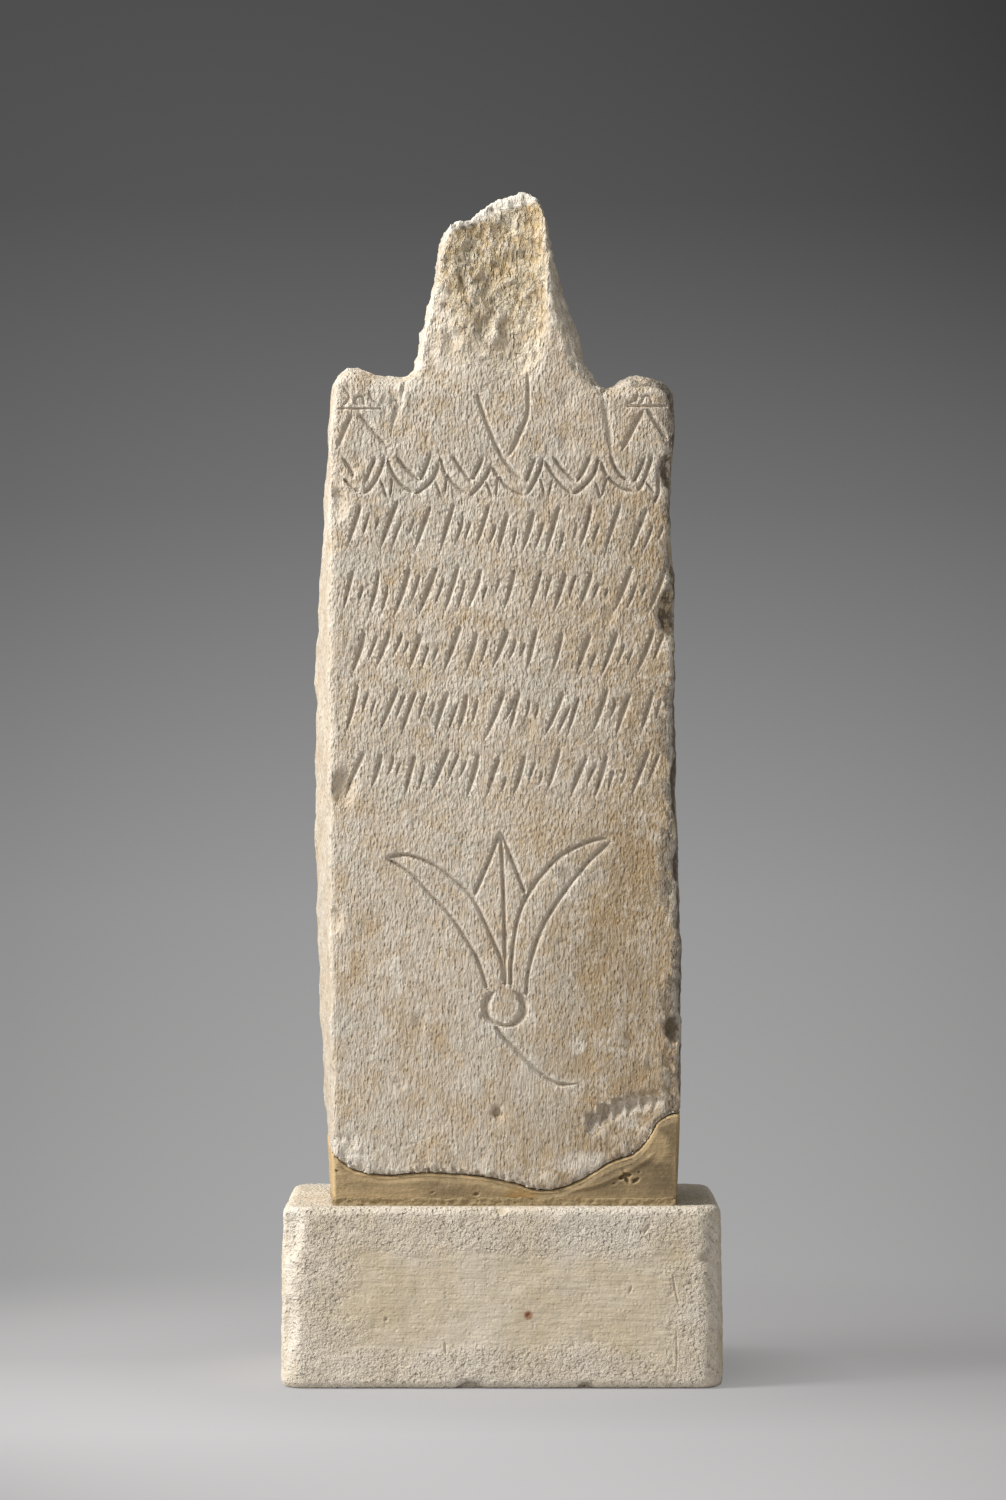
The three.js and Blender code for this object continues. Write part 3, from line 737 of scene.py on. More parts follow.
def cut_tree():
    """Cuts a worn V along every path into the surface that faces the front."""
    net, given = geometry_group("chisel cuts", ("Face", "Reach", "Snap"), {"Paths": "Object"})
    paths = net.node("GeometryNodeObjectInfo", {"Object": given["Paths"]}).outputs["Geometry"]
    place = net.parts(net.node("GeometryNodeInputPosition").outputs["Position"])
    flat = {"X": place["X"], "Y": given["Face"], "Z": place["Z"]}
    flat = net.node("ShaderNodeCombineXYZ", flat).outputs["Vector"]
    near = {"Geometry": paths, "Sample Position": flat}
    near = net.node("GeometryNodeProximity", near, target_element="EDGES").outputs
    at = {"Geometry": paths, "Sample Position": near["Position"]}
    at = net.node("GeometryNodeSampleNearest", at, domain="POINT").outputs["Index"]

    def on_path(name):
        inputs = {"Geometry": paths, "Value": net.named(name), "Index": at}
        return net.node("GeometryNodeSampleIndex", inputs, data_type="FLOAT", domain="POINT").outputs["Value"]

    # Points near the middle line or the rim move onto it, which keeps both lines sharp.
    distance, half_width = near["Distance"], on_path("half_width")
    off_rim = net.math("ABSOLUTE", net.math("SUBTRACT", distance, half_width))
    to_rim = net.blend(net.math("LESS_THAN", off_rim, given["Snap"]), distance, half_width)
    snapped = net.times(to_rim, net.math("GREATER_THAN", distance, given["Snap"]))
    stretch = net.math("DIVIDE", snapped, net.math("MAXIMUM", distance, 1e-6))
    slide = net.scaled(net.vector("SUBTRACT", flat, near["Position"]), net.math("SUBTRACT", stretch, 1.0))

    share = net.math("DIVIDE", snapped, half_width)
    worn = net.math("POWER", net.math("SUBTRACT", 1.0, share, clamp=True), 0.9)
    sink = net.node("ShaderNodeCombineXYZ", {"Y": net.times(worn, on_path("cut_depth"))}).outputs["Vector"]

    facing = net.parts(net.node("GeometryNodeInputNormal").outputs["Normal"])["Y"]
    in_reach = net.math("LESS_THAN", net.math("SUBTRACT", place["Y"], given["Face"]), given["Reach"])
    chosen = net.times(net.math("LESS_THAN", facing, -0.3), in_reach)
    chosen = net.times(chosen, net.math("LESS_THAN", share, 1.01))
    marked = net.node("GeometryNodeStoreNamedAttribute", {
        "Geometry": given["Geometry"], "Name": "cut", "Value": net.times(worn, chosen),
    }, data_type="FLOAT", domain="POINT").outputs["Geometry"]
    moves = {"Geometry": marked, "Selection": chosen, "Offset": net.vector("ADD", slide, sink)}
    return finish_group(net, given, moves)


def carve(obj, material, paths, face, reach, snap):
    """Carves the cuts into the piece and removes their paths. Reach and snap are in millimetres."""
    run_group(obj, cut_tree(), {
        "Paths": paths, "Face": face, "Reach": reach * MM, "Snap": snap * MM, "Material": material})
    bpy.data.objects.remove(paths)


def sharpen_cuts(mesh, least_angle):
    """Shades the middle line and the rims of every cut as sharp edges."""
    mesh.set_sharp_from_angle(angle=least_angle)
    one, other = edges_of(mesh)
    carved = column(mesh, "cut") > 0
    beside = carved.copy()
    beside[one[carved[other]]] = True
    beside[other[carved[one]]] = True
    sharp = np.zeros(len(mesh.edges), bool)
    mesh.attributes["sharp_edge"].data.foreach_get("value", sharp)
    mesh.attributes["sharp_edge"].data.foreach_set("value", sharp & beside[one] & beside[other])


def weathering_tree():
    """Waves, tooling, pits and broken stone on a surface. The attribute rough gives the places of broken
    stone, pitting those of pits, and calm holds the surface still."""
    numbers = ("Swell", "Swell Size", "Grain", "Grain Size", "Pit Depth", "Pit Spacing", "Pit Share", "Break",
               "Break Size", "Seed")
    net, given = geometry_group("weathering", numbers, {"Grain Stretch": "Vector"})
    position = net.node("GeometryNodeInputPosition").outputs["Position"]
    normal = net.node("GeometryNodeInputNormal").outputs["Normal"]
    stretched = net.vector("MULTIPLY", position, given["Grain Stretch"])

    def ripple(vector, name, detail, roughness):
        """Noise about zero, as deep and as large as the inputs of that name say."""
        often = net.math("DIVIDE", 1.0, given[name + " Size"])
        inputs = {
            "Vector": vector, "W": given["Seed"], "Scale": often, "Detail": detail, "Roughness": roughness}
        level = net.node("ShaderNodeTexNoise", inputs, noise_dimensions="4D").outputs[0]
        return net.times(net.math("SUBTRACT", level, 0.5), given[name])

    often = net.math("DIVIDE", 1.0, given["Pit Spacing"])
    cell = {"Vector": stretched, "W": given["Seed"], "Scale": often}
    cell = net.node("ShaderNodeTexVoronoi", cell, voronoi_dimensions="4D").outputs
    share = net.times(net.named("pitting"), given["Pit Share"])
    picked = net.math("LESS_THAN", net.parts(cell["Color"])["X"], share)
    pit = net.times(net.remap(cell["Distance"], 0.12, 0.45, 1, 0, smooth=True), picked)

    crag = net.times(ripple(stretched, "Break", 4, 0.68), net.named("rough"))
    total = net.math("ADD", ripple(position, "Swell", 2, 0.5), ripple(stretched, "Grain", 2, 0.6))
    total = net.math("SUBTRACT", net.math("ADD", total, crag), net.times(pit, given["Pit Depth"]))
    total = net.times(total, net.math("SUBTRACT", 1.0, net.named("calm"), clamp=True))
    return finish_group(net, given, {"Geometry": given["Geometry"], "Offset": net.scaled(normal, total)})


def weather(obj, material, swell, grain, stretch, pits, broken, seed):
    """Weathers the piece. Swell, grain and broken are a noise's whole span and its size in millimetres, pits
    a depth, a spacing and the share of places that have one."""
    run_group(obj, weathering_tree(), {
        "Swell": swell[0] * MM, "Swell Size": swell[1] * MM,
        "Grain": grain[0] * MM, "Grain Size": grain[1] * MM, "Grain Stretch": stretch,
        "Pit Depth": pits[0] * MM, "Pit Spacing": pits[1] * MM, "Pit Share": pits[2],
        "Break": broken[0] * MM, "Break Size": broken[1] * MM,
        "Seed": seed, "Material": material,
    })


# Materials. Sizes of patterns and depths of relief are in millimetres.

def new_material(name):
    """An empty node material, its net and the object coordinates."""
    material = bpy.data.materials.new(name)
    material.use_nodes = True
    material.node_tree.nodes.clear()
    net = Net(material.node_tree)
    return material, net, net.node("ShaderNodeTexCoord").outputs["Object"]


def shade(rgb, factor):
    """A colour made darker or paler by a factor."""
    return tuple(min(1, c * factor) for c in rgb)


def weathered_limestone(colours):
    """Soft limestone dressed with a claw chisel, rubbed and weathered: sandy grains of 1 to 2 mm with ochre
    earth between them, ash-grey clouds a few centimetres wide, faint upright combing and pale edges, partly
    worn and partly painted highlight, with painted highlight on the walls of the cuts. It is duller towards
    the right edge and its dark crust, partly brown stone and partly painted shade where the key light falls
    off, with a thin brown run low down, and has ochre dust and pits in the old break. Matt."""
    material, net, place = new_material("limestone dressed and weathered")
    across, _, up = net.parts(place)
    height = net.math("SUBTRACT", up, FOOT_Z)
    upright = net.stretched(place, (1, 1, 0.25))
    long_grain = net.stretched(place, (1, 1, 0.55))
    earth, brown = shade(colours.ochre, 0.8), shade(colours.ochre, 0.6)

    clouds = net.noise(place, 40, 6, 0.66)
    tone = net.mix(net.remap(clouds, 0.45, 0.6), colours.sand, colours.ash)

    # The dressed face grows duller and browner from its middle to its right edge, most of all low down: partly
    # brown stone and partly painted shade where the key light falls off.
    to_right = net.remap(across, -0.015, 0.06)
    cloudy = net.remap(clouds, 0.35, 0.65, 0.35, -0.35)
    tan_and_shade = net.times(net.math("ADD", to_right, cloudy, clamp=True), to_right)
    tan_and_shade = net.times(tan_and_shade, net.remap(height, 0.17, 0.1, 0.9, 2.2), clamp=True)
    tan_and_shade = net.times(tan_and_shade, net.remap(height, 0.29, 0.33, 1, 0.35))
    tone = net.mix(tan_and_shade, tone, colours.tan)
    iron = net.remap(net.noise(place, 14, 7, 0.75), 0.46, 0.68, end=0.7)
    tone = net.mix(iron, tone, colours.ochre)

    # Grains and pits of 1 to 2 mm, combed upright, most of all low on the face. The low places hold ochre
    # earth and the high ones are rubbed pale.
    combing = net.remap(height, 0.07, 0.19, 0.62, 0.3)
    grain = net.blend(combing, net.noise(long_grain, 1.5, 2, 0.6), net.noise(upright, 1.4, 3, 0.7))
    grain = net.math("MULTIPLY_ADD", net.pits(long_grain, 1.4, 0.8), -0.35, grain)
    mottle = net.noise(long_grain, 9, 9, 0.88)
    mottle = net.math("MULTIPLY_ADD", mottle, 0.7, net.times(grain, 0.5))
    tone = net.mix(net.remap(mottle, 0.59, 0.44, end=0.42), tone, earth)
    tone = net.mix(net.remap(mottle, 0.58, 0.7, end=0.5), tone, colours.fresh_and_lit)

    # A faint brown run down the lowest part of the face, a little to the right of its middle.
    aside = net.math("MULTIPLY_ADD", net.noise(upright, 3, 3), 0.004, across)
    aside = net.math("ABSOLUTE", net.math("SUBTRACT", aside, 0.0112))
    run = net.times(net.remap(aside, 0.0003, 0.0013, 0.4, 0), net.remap(height, 0.03, 0.055, 1, 0))
    tone = net.mix(run, tone, earth)

    # Pale patches: powdery where the skin of the stone has come off and on the whole of the flat flake, and
    # painted light on the crest, in the gouge's hollow and on the right rim with its flank.
    powder_and_light_mask = net.math("MULTIPLY_ADD", net.attribute("powdered"), 0.16, net.noise(place, 19, 7, 0.75, 0.4))
    tone = net.mix(net.remap(powder_and_light_mask, 0.57, 0.69, end=0.7), tone, colours.fresh_and_lit)

    # The old break: chips a few millimetres long that run upright, cream and ochre with brown crevices.
    scar = net.attribute("scar")
    up_scar = net.remap(height, 0.355, 0.4, 0.4, 1)
    chips = net.noise(long_grain, 4.6, 4, 0.64, 0.3)
    chips = net.math("MULTIPLY_ADD", net.pits(long_grain, 3, 0.7), -0.22, chips)
    dusty = net.remap(net.noise(place, 10, 5, 0.7), 0.42, 0.6, end=0.85)
    broken = net.mix(dusty, colours.cream, colours.scar)
    broken = net.mix(net.times(net.remap(chips, 0.47, 0.3, end=0.85), up_scar), broken, brown)
    broken = net.mix(net.remap(chips, 0.52, 0.66, end=0.45), broken, colours.fresh_and_lit)
    broken = net.mix(net.remap(up_scar, 0.4, 1, 0.6, 0), broken, colours.fresh_and_lit)
    tone = net.mix(net.times(scar, 0.92), tone, broken)

    # Dark crust on the right edge, in patches with crisp borders.
    crusted = net.attribute("crusted")
    crust = net.math("MULTIPLY_ADD", crusted, 0.16, net.noise(long_grain, 11, 7, 0.72))
    crust = net.times(net.remap(crust, 0.6, 0.63, end=0.9), crusted)
    tone = net.mix(crust, tone, colours.soot)

    # Painted highlight: the walls of the cuts are paler, so that their lit sides read brighter. Hollows are
    # darker brown. Edges are paler, partly worn and partly painted highlight; the bare corner is pale and the
    # crest is painted pale as sunlit.
    tone = net.mix(net.times(net.attribute("cut"), 0.5), tone, colours.fresh_and_lit)
    tone = net.mix(net.times(net.attribute("hollow"), 0.22), tone, brown)
    bare = net.times(net.attribute("bare"), 0.65)
    rubbed_and_lit = net.math("MULTIPLY_ADD", net.attribute("edge"), 0.6, bare, clamp=True)
    tone = net.mix(rubbed_and_lit, tone, colours.fresh_and_lit)

    # Relief too fine for the mesh: grains with their pits, chips of the break and the crust's thickness.
    chips = net.times(chips, net.times(scar, up_scar))
    relief = net.bump(crust, 0.4, net.bump(chips, 4.6, net.bump(grain, 2)))
    net.surface(tone, relief, Roughness=0.95, Specular_IOR_Level=0.25)
    return material


def toned_plaster(colours):
    """Gypsum plaster smoothed with a spatula and toned brown: cloudy, faintly streaked along the tool's path
    and a little less matt than stone, with an amber smear of aged adhesive."""
    material, net, place = new_material("plaster smoothed and toned")
    across, _, up = net.parts(place)
    streaked = net.stretched(place, (0.15, 0.15, 1))
    speck = net.remap(net.noise(place, 2, 3, 0.7), 0.3, 0.7, 0.86, 1.12)
    level = net.times(net.remap(net.noise(streaked, 7, 5, 0.6), 0.32, 0.68, 0.76, 1.14), speck)
    level = net.times(level, net.remap(net.noise(place, 26, 4), 0.35, 0.65, 0.8, 1.2))
    # Painted shade: darker towards the right, where the key light falls off.
    level = net.times(level, net.remap(across, 0, 0.055, 1, 0.72))
    tone = net.scaled(tuple(colours.plaster), level)

    # Edges and the places marked pale are lighter: edges partly worn and partly painted highlight, and painted
    # light on the side that faces the key and on the lip below the break. Earth is held in hollows, but not
    # down by the bed.
    paler = net.math("MULTIPLY_ADD", net.attribute("edge"), 0.8, net.attribute("pale"), clamp=True)
    tone = net.mix(paler, tone, shade(colours.plaster, 1.6))
    above_bed = net.remap(up, FOOT_Z + 0.6 * MM, FOOT_Z + 1.6 * MM, end=0.9)
    dirt = net.times(net.attribute("hollow"), above_bed)
    dirt = net.times(dirt, net.remap(net.noise(place, 5, 5), 0.38, 0.6, 0.25, 1))
    tone = net.mix(dirt, tone, shade(colours.plaster, 0.4))

    # The smear: a ragged oval at the foot of the front.
    middle = Vector((0.0078, FACE_Y, FOOT_Z))
    half = Vector((0.0075, 0.004, 0.0048))
    oval = net.node("ShaderNodeMapping", {
        "Vector": place, "Location": [-m / h for m, h in zip(middle, half)], "Scale": [1 / h for h in half]})
    far = net.distance(oval.outputs["Vector"], (0, 0, 0))
    far = net.math("MULTIPLY_ADD", net.noise(place, 2, 5, 0.75), 2.2, far)
    tone = net.mix(net.remap(far, 1.5, 2.3, 0.6, 0), tone, colours.adhesive)

    relief = net.bump(speck, 0.7, net.bump(net.noise(streaked, 1.2, 3), 0.32))
    net.surface(tone, relief, Roughness=0.72, Specular_IOR_Level=0.35)
    return material


def lime_mortar(colours):
    """Lime mortar pressed out of a joint and left rough: sandy, crumbly and matt."""
    material, net, place = new_material("lime mortar pressed from the joint")
    sand = net.noise(place, 1.3, 4, 0.7)
    tone = net.scaled(tuple(colours.mortar), net.remap(sand, 0.3, 0.7, 0.72, 1.25))
    net.surface(tone, net.bump(sand, 0.5), Roughness=0.95, Specular_IOR_Level=0.25)
    return material


def pitted_plinth_stone(colours):
    """Soft shelly limestone, sawn and rubbed level: round pits of 1 to 2 mm in wide zones along top, foot and
    ends, a tan zone brushed smooth between them, pale edges, partly worn and partly painted highlight, and one
    rusty fleck."""
    material, net, place = new_material("plinth stone sawn and pitted")
    pitting = net.attribute("pitting")
    smooth = net.math("MULTIPLY_ADD", pitting, -0.12, net.noise(place, 42, 7, 0.68))
    tone = net.mix(net.remap(smooth, 0.3, 0.64, end=0.9), colours.plinth, colours.plinth_tan)
    mottle = net.remap(net.noise(place, 6, 5, 0.72), 0.3, 0.7, 0.9, 1.1)
    streak = net.noise(net.stretched(place, (0.1, 0.1, 1)), 1.5, 2)
    tone = net.scaled(tone, net.times(mottle, net.remap(streak, 0.3, 0.7, 0.95, 1.05)))

    # Pits of two sizes with a little earth in them, dense in the pitted zones and sparse elsewhere.
    push = net.scaled(net.noise(place, 2.5, 2, out="Color"), 1.2 * MM)
    uneven = net.vector("ADD", place, push)
    pits = net.math("MULTIPLY_ADD", net.pits(uneven, 1.1, 0.9), 0.5, net.pits(uneven, 1.8, 0.95))
    zones = net.math("ADD", net.noise(place, 9, 4, 0.7), pitting)
    depth = net.remap(zones, 0.85, 1.4, 0.22, 1)
    lost = net.times(pits, depth)
    dark = shade(colours.plinth_tan, 0.5)
    tone = net.mix(net.times(lost, 0.16), tone, dark)

    tone = net.mix(net.times(net.attribute("hollow"), 0.35), tone, dark)
    # Edges are paler, partly worn and partly painted highlight on the lit arrises; chips are pale, fresh
    # stone.
    rubbed_and_lit = net.math("MULTIPLY_ADD", net.attribute("edge"), 0.6, net.attribute("chipped"), clamp=True)
    tone = net.mix(rubbed_and_lit, tone, colours.fresh_and_lit)
    spot = net.distance(place, (0.0112, PLINTH_FRONT, 0.0319))
    tone = net.mix(net.remap(spot, 0.0012, 0.0026, 0.85, 0), tone, colours.rust)

    gritty = net.times(net.noise(place, 2, 3, 0.7), depth)
    relief = net.bump(lost, 0.8, net.bump(gritty, 1.3, net.bump(streak, 0.34)), invert=True)
    net.surface(tone, relief, Roughness=0.95, Specular_IOR_Level=0.25)
    return material


def drawn_steel(colours):
    """Stainless steel bar, drawn through a die: cool grey metal with faint lines along its length."""
    material, net, place = new_material("stainless steel drawn")
    lines = net.noise(net.stretched(place, (1, 1, 0.02)), 0.5, 2)
    tone = net.scaled(tuple(colours.steel), net.remap(lines, 0.3, 0.7, 0.9, 1.05))
    net.surface(tone, net.bump(lines, 0.02), Metallic=1.0, Roughness=0.35)
    return material


def cured_resin(colours):
    """Polyester resin, poured and cured round the dowels: amber, clouded with filler and slightly glossy."""
    material, net, place = new_material("polyester resin cured")
    cloud = net.noise(place, 3, 4)
    tone = net.scaled(tuple(colours.resin), net.remap(cloud, 0.3, 0.7, 0.82, 1.12))
    net.surface(tone, net.bump(cloud, 0.1), Roughness=0.4, IOR=1.55)
    return material


def studio_floor(colours):
    """Matt paper sweep. For the camera the paper also glows in painted light, brighter at the left and the
    front, which softens the object's shadow, and the paper fades out into the backdrop's tone away from the
    object."""
    material, net, place = new_material("paper sweep matt")
    across, behind, _ = net.parts(place)
    paper = (*colours.floor, 1)
    shader = net.node("ShaderNodeBsdfPrincipled", {
        "Base Color": paper, "Roughness": 1.0, "Specular IOR Level": 0.0}).outputs["BSDF"]
    seen = net.node("ShaderNodeLightPath").outputs["Is Camera Ray"]
    far = net.distance(place, (0, 0, 0))

    # Painted light: the camera sees part of the paper as a glow, brighter at the left and the front and a
    # larger share away from the object, so the shadow is lighter.
    even = net.times(net.remap(far, 0.08, 0.16, 0.42, 0.88), seen)
    level = net.times(net.remap(across, -0.25, 0.25, 1.52, 0.85), net.remap(behind, -0.2, 0.05, 1.05, 0.74))
    painted_glow = net.node("ShaderNodeEmission", {"Color": paper, "Strength": level}).outputs["Emission"]
    mixed = net.node("ShaderNodeMixShader", {0: even, 1: shader, 2: painted_glow}).outputs["Shader"]

    gone = net.times(net.remap(far, 0.12, 0.5, smooth=True), seen)
    clear = net.node("ShaderNodeBsdfTransparent").outputs["BSDF"]
    faded = net.node("ShaderNodeMixShader", {0: gone, 1: mixed, 2: clear}).outputs["Shader"]
    net.node("ShaderNodeOutputMaterial", {"Surface": faded})
    return material


# Zones of the stone, by place in metres: across from the middle, behind the face and height above the foot.
WORN_SKIN = 0.02  # how far behind the face its wear reaches
SCAR_FOOT = 0.345  # height at which the break of the pinnacle begins
FLAKE_FOOT, FLAKE_TOP = 0.354, 0.398
CRUST_START = 0.062  # where the crust of the right edge begins
GOUGE_START, GOUGE_HEIGHT = 0.034, 0.036
CORNER_PIT = (-0.048, 0.345)
LOW_CORNER = (-0.066, 0.019)
SMEARS = ((-0.046, 0.094, 0.003, 0.014), (0.013, 0.078, 0.003, 0.005), (0.0325, 0.066, 0.004, 0.004))
CREASE_START, CREASE_RUN = (-0.014, 0.375), (0.012, -0.0195)


def mark_stone(mesh):
    """Stores where the stone is broken, powdered, bare, crusted and rough, and where it is painted pale as
    light.
    Returns the gouge's hollow.
    """
    points, normals = points_of(mesh), normals_of(mesh)
    across, behind, height = points[:, 0], points[:, 1] - FACE_Y, points[:, 2] - FOOT_Z
    shallow = behind < WORN_SKIN
    ragged = 0.002 * np.sin(height / 0.0021) * np.sin(height / 0.0047 + 1)

    # The pinnacle: the scar of its break, the flat flake at the left, the crest, the right rim and its flank.
    foot_of_scar = height + 0.9 * np.minimum(across + 0.0105, 0) + ragged
    scar = ease(behind, 0.0004, 0.0016) * ease(foot_of_scar, SCAR_FOOT, SCAR_FOOT + 0.004)
    scar *= normals[:, 1] < -0.25
    scar *= ease(across, 0.024, 0.016) * ease(across, -0.05, -0.042) * shallow
    left_of_hollow = ease(across + ragged + 0.0246 - (0.394 - height) * 0.25, 0.002, -0.003)
    flake = left_of_hollow * ease(height + ragged, FLAKE_TOP, FLAKE_TOP - 0.006)
    flake *= ease(height + ragged, FLAKE_FOOT, FLAKE_FOOT + 0.008)
    lit_crest = ease(height + ragged - 0.4173 - 0.46 * (across + 0.021), -0.001, 0.001) * shallow
    rim = ease(across + ragged, 0.0155, 0.0185) * ease(height, 0.37, 0.378)
    flank = ease(height + 1.27 * across + ragged, 0.3975, 0.4) * (across > 0.014) * ease(across, 0.047, 0.044)
    rim = np.maximum(rim, flank) * shallow
    scar = np.maximum(scar * (1 - 0.8 * flake), 0.2 * rim) * (1 - lit_crest)

    # The gouge's hollow, the right edge with its crust, and what is rougher than the dressed face.
    scoop = ease(behind, 0.0006, 0.0016) * (behind < 0.007) * (across > GOUGE_START)
    scoop *= abs(height - GOUGE_HEIGHT) < 0.016
    right_edge = ease(across, CRUST_START, CRUST_START + 0.012)
    right_edge += 0.8 * ease(across, 0.05, 0.056) * ease(behind, 0.0006, 0.002)
    right_edge *= (1 - scoop * ease(across, 0.072, 0.068)) * (0.25 + 0.75 * ease(behind, 0.02, 0.007))
    right_edge *= ease(behind, 0.07, 0.05)
    sides = 0.5 * ease(behind, 0.003, 0.012)
    back = 0.8 * ease(behind, 0.06, 0.075)
    top = ease(height, 0.35, 0.362) * ease(behind, 0.0005, 0.003)
    low_edge = 0.9 * ease(height - 0.012 * ease(across, 0.04, 0.07), 0.03, 0.012) * (behind < 0.006)

    # The upper corners with a pit at the left, and the broken corner low at the left.
    corners = 0.5 * ease(height, 0.325, 0.345) * ease(abs(across), 0.04, 0.05)
    off_pit = np.hypot(across - CORNER_PIT[0], height - CORNER_PIT[1])
    corners = np.maximum(corners, 1.3 * ease(off_pit, 0.01, 0.005))
    off_corner = np.hypot(across - LOW_CORNER[0], (height - LOW_CORNER[1]) * 0.8)
    corner = ease(off_corner + ragged, 0.011, 0.005) * shallow
    scar = np.maximum(scar, 0.3 * corner)

    # Pale places: the powdered flake, low edge and broken corner, painted light on the crest, in the gouge's
    # hollow and on the right rim with its flank, and pale smears on the face, as (across, height, half width,
    # half height).
    powdered = np.maximum.reduce([flake, lit_crest, 0.6 * low_edge, corner, 0.9 * scoop, 0.8 * rim])
    for x, z, half_width, half_height in SMEARS:
        far = np.hypot((across - x) / half_width, (height - z) / half_height)
        powdered = np.maximum(powdered, ease(far, 1.3, 0.5) * shallow)

    rough = np.maximum.reduce([
        (0.55 + 0.65 * ease(height, 0.36, 0.4)) * scar, 0.3 * flake, 1.3 * rim, sides, 1.8 * top, corners,
        low_edge, 2 * corner, 0.6 * right_edge, back])
    crusted = np.clip(right_edge * (0.75 + 0.25 * ease(height, 0.07, 0.1)), 0, 1)
    keep_columns(
        mesh, powdered=powdered, bare=np.maximum(lit_crest, 0.5 * corner), scar=scar, crusted=crusted,
        rough=rough, pitting=1)
    return scoop


def wear_stone(mesh, scoop, edge, fall, seed):
    """The dressed face falls back to the right, the flake runs out softly at its foot, the crease between
    hollow and flake is worn away, the trough of the gouge is half as deep, because its blows are cut one by
    one, and the broken edge is ragged."""
    points = points_of(mesh)
    across, behind, height = points[:, 0], points[:, 1] - FACE_Y, points[:, 2] - FOOT_Z
    free = 1 - column(mesh, "calm")
    points[:, 1] += fall * ease(across, 0.01, 0.085) * ease(behind, 0.03, 0.0) * free
    soft = ease(height, 0.358, 0.346) * (abs(height - 0.347) < 0.012) * (abs(across + 0.03) < 0.021)
    points[:, 1] -= np.clip(behind, 0, 0.007) * np.maximum(soft * (behind < 0.003), 0.5 * scoop) * free

    line = np.array(edge) * MM
    over_edge = height - np.interp(across, line[:, 0], line[:, 1])
    bites = np.random.default_rng(seed).uniform(0, 1, len(line)) ** 3
    near_edge = ease(abs(over_edge), 0.0026, 0.0006) * ease(behind, 0.0026, 0.001)
    points[:, 2] += 0.002 * np.interp(across, line[:, 0], bites) * near_edge

    start, run = np.array(CREASE_START), np.array(CREASE_RUN)
    along = ((across - start[0]) * run[0] + (height - start[1]) * run[1]) / (run @ run)
    along = np.clip(along, 0, 1)
    off_crease = np.hypot(across - start[0] - run[0] * along, height - start[1] - run[1] * along)
    crease = ease(off_crease, 0.007, 0.003) * (behind < WORN_SKIN)
    points += (smoothed(mesh, points, 12) - points) * crease[:, None]
    keep_points(mesh, points)


def wear_plinth(mesh):
    """Stores where the plinth is pitted, rough and chipped, and sinks its chips."""
    points, normals = points_of(mesh), normals_of(mesh)
    across, behind, height = points[:, 0], points[:, 1] - PLINTH_FRONT, points[:, 2]
    band = ease(abs(height - 0.038), 0.012, 0.028)
    ends = ease(abs(across - 0.004), 0.05, 0.085)
    waves = np.sin(across / 0.011 + 2 * np.sin(height / 0.009)) * np.sin(height / 0.007 + across / 0.023)
    pitting = np.clip(np.maximum(band, ends) + 0.25 * waves, 0.05, 1) * ease(abs(across), 0.1, 0.088)
    upright_edges = ease(abs(across), 0.0865, 0.0925)
    rough = np.maximum(ease(np.maximum(ends, band), 0.9, 1) * 0.5, upright_edges)

    front = (behind < 0.012) & (normals[:, 1] < -0.3)
    in_chip = ease(behind, 0.0012, 0.003) * front * (abs(height - 0.04) < 0.034) * (abs(across) < 0.0925)
    uneven = 0.0012 * np.sin(height / 0.0017) + 0.001 * np.sin(height / 0.0031 + 2)
    left_chip = ease(across + uneven + (0.076 - height) * 0.16, -0.083, -0.0885) * ease(height, 0.046, 0.054)
    right_chip = ease(across + 2 * uneven - 0.0012 * np.sin(height / 0.006), 0.0885, 0.0905)
    right_chip *= ease(height, 0.036, 0.042)
    top_chip = ease(np.hypot((across + 0.006) / 0.005, (height - 0.0785) / 0.0042) + uneven / 0.004, 1, 0.7)
    pale = np.maximum(0.9 * left_chip, top_chip) * (behind < 0.006)
    sunk = (1.5 * left_chip + 1.3 * right_chip + 1.2 * top_chip) * MM * ease(behind, 0.008, 0.002)
    points[:, 1] += sunk
    keep_points(mesh, points)
    keep_columns(mesh, pitting=pitting, rough=rough, chipped=np.maximum(in_chip * 0.5, pale))


# Operators

class STELE_OT_stone(bpy.types.Operator):
    """Carve and weather the stone"""
    bl_idname = "stele.stone"
    bl_label = "Carved stone"

    def execute(self, context):
        scene = context.scene
        carving, settings = scene.stele_carving, scene.stele_weathering
        material = weathered_limestone(scene.stele_colours)
        obj = even_copy("stele_stone", "carved_stone", settings.stone_mesh)
        thin_back(obj)
        edge = broken_edge(1.3)
        paths = draw_paths(
            obj, stone_cuts(carving, edge), FACE_Y, FOOT_Z, reach=carving.stroke_width * 0.64, layer=8 * MM)
        mark_joints(obj, ("plaster_foot", "stone_resin_left", "stone_resin_right"), 0.8 * MM)
        scoop = mark_stone(obj.data)
        wear_stone(obj.data, scoop, edge, settings.fall, carving.seed)
        weather(
            obj, material, swell=(NOISE_SPAN * settings.swell / MM, 38),
            grain=(NOISE_SPAN * settings.grain / MM, 4), stretch=STONE_GRAIN,
            pits=(settings.pit_depth / MM, 9, 0.2),
            broken=(NOISE_SPAN * settings.break_roughness / MM, 7), seed=3.0)
        carve(obj, material, paths, FACE_Y, reach=4, snap=0.3)
        sharpen_cuts(obj.data, math.radians(30))
        mark_wear(obj.data, 0.5 * MM)
        # The thinned back has larger faces, which would read as sharper edges.
        fine = 1 - 0.75 * ease(points_of(obj.data)[:, 1] - FACE_Y, 0.012, 0.02)
        keep_columns(obj.data, **{name: column(obj.data, name) * fine for name in ("edge", "hollow")})
        finish_piece(obj, "stele_stone", material)
        return {"FINISHED"}


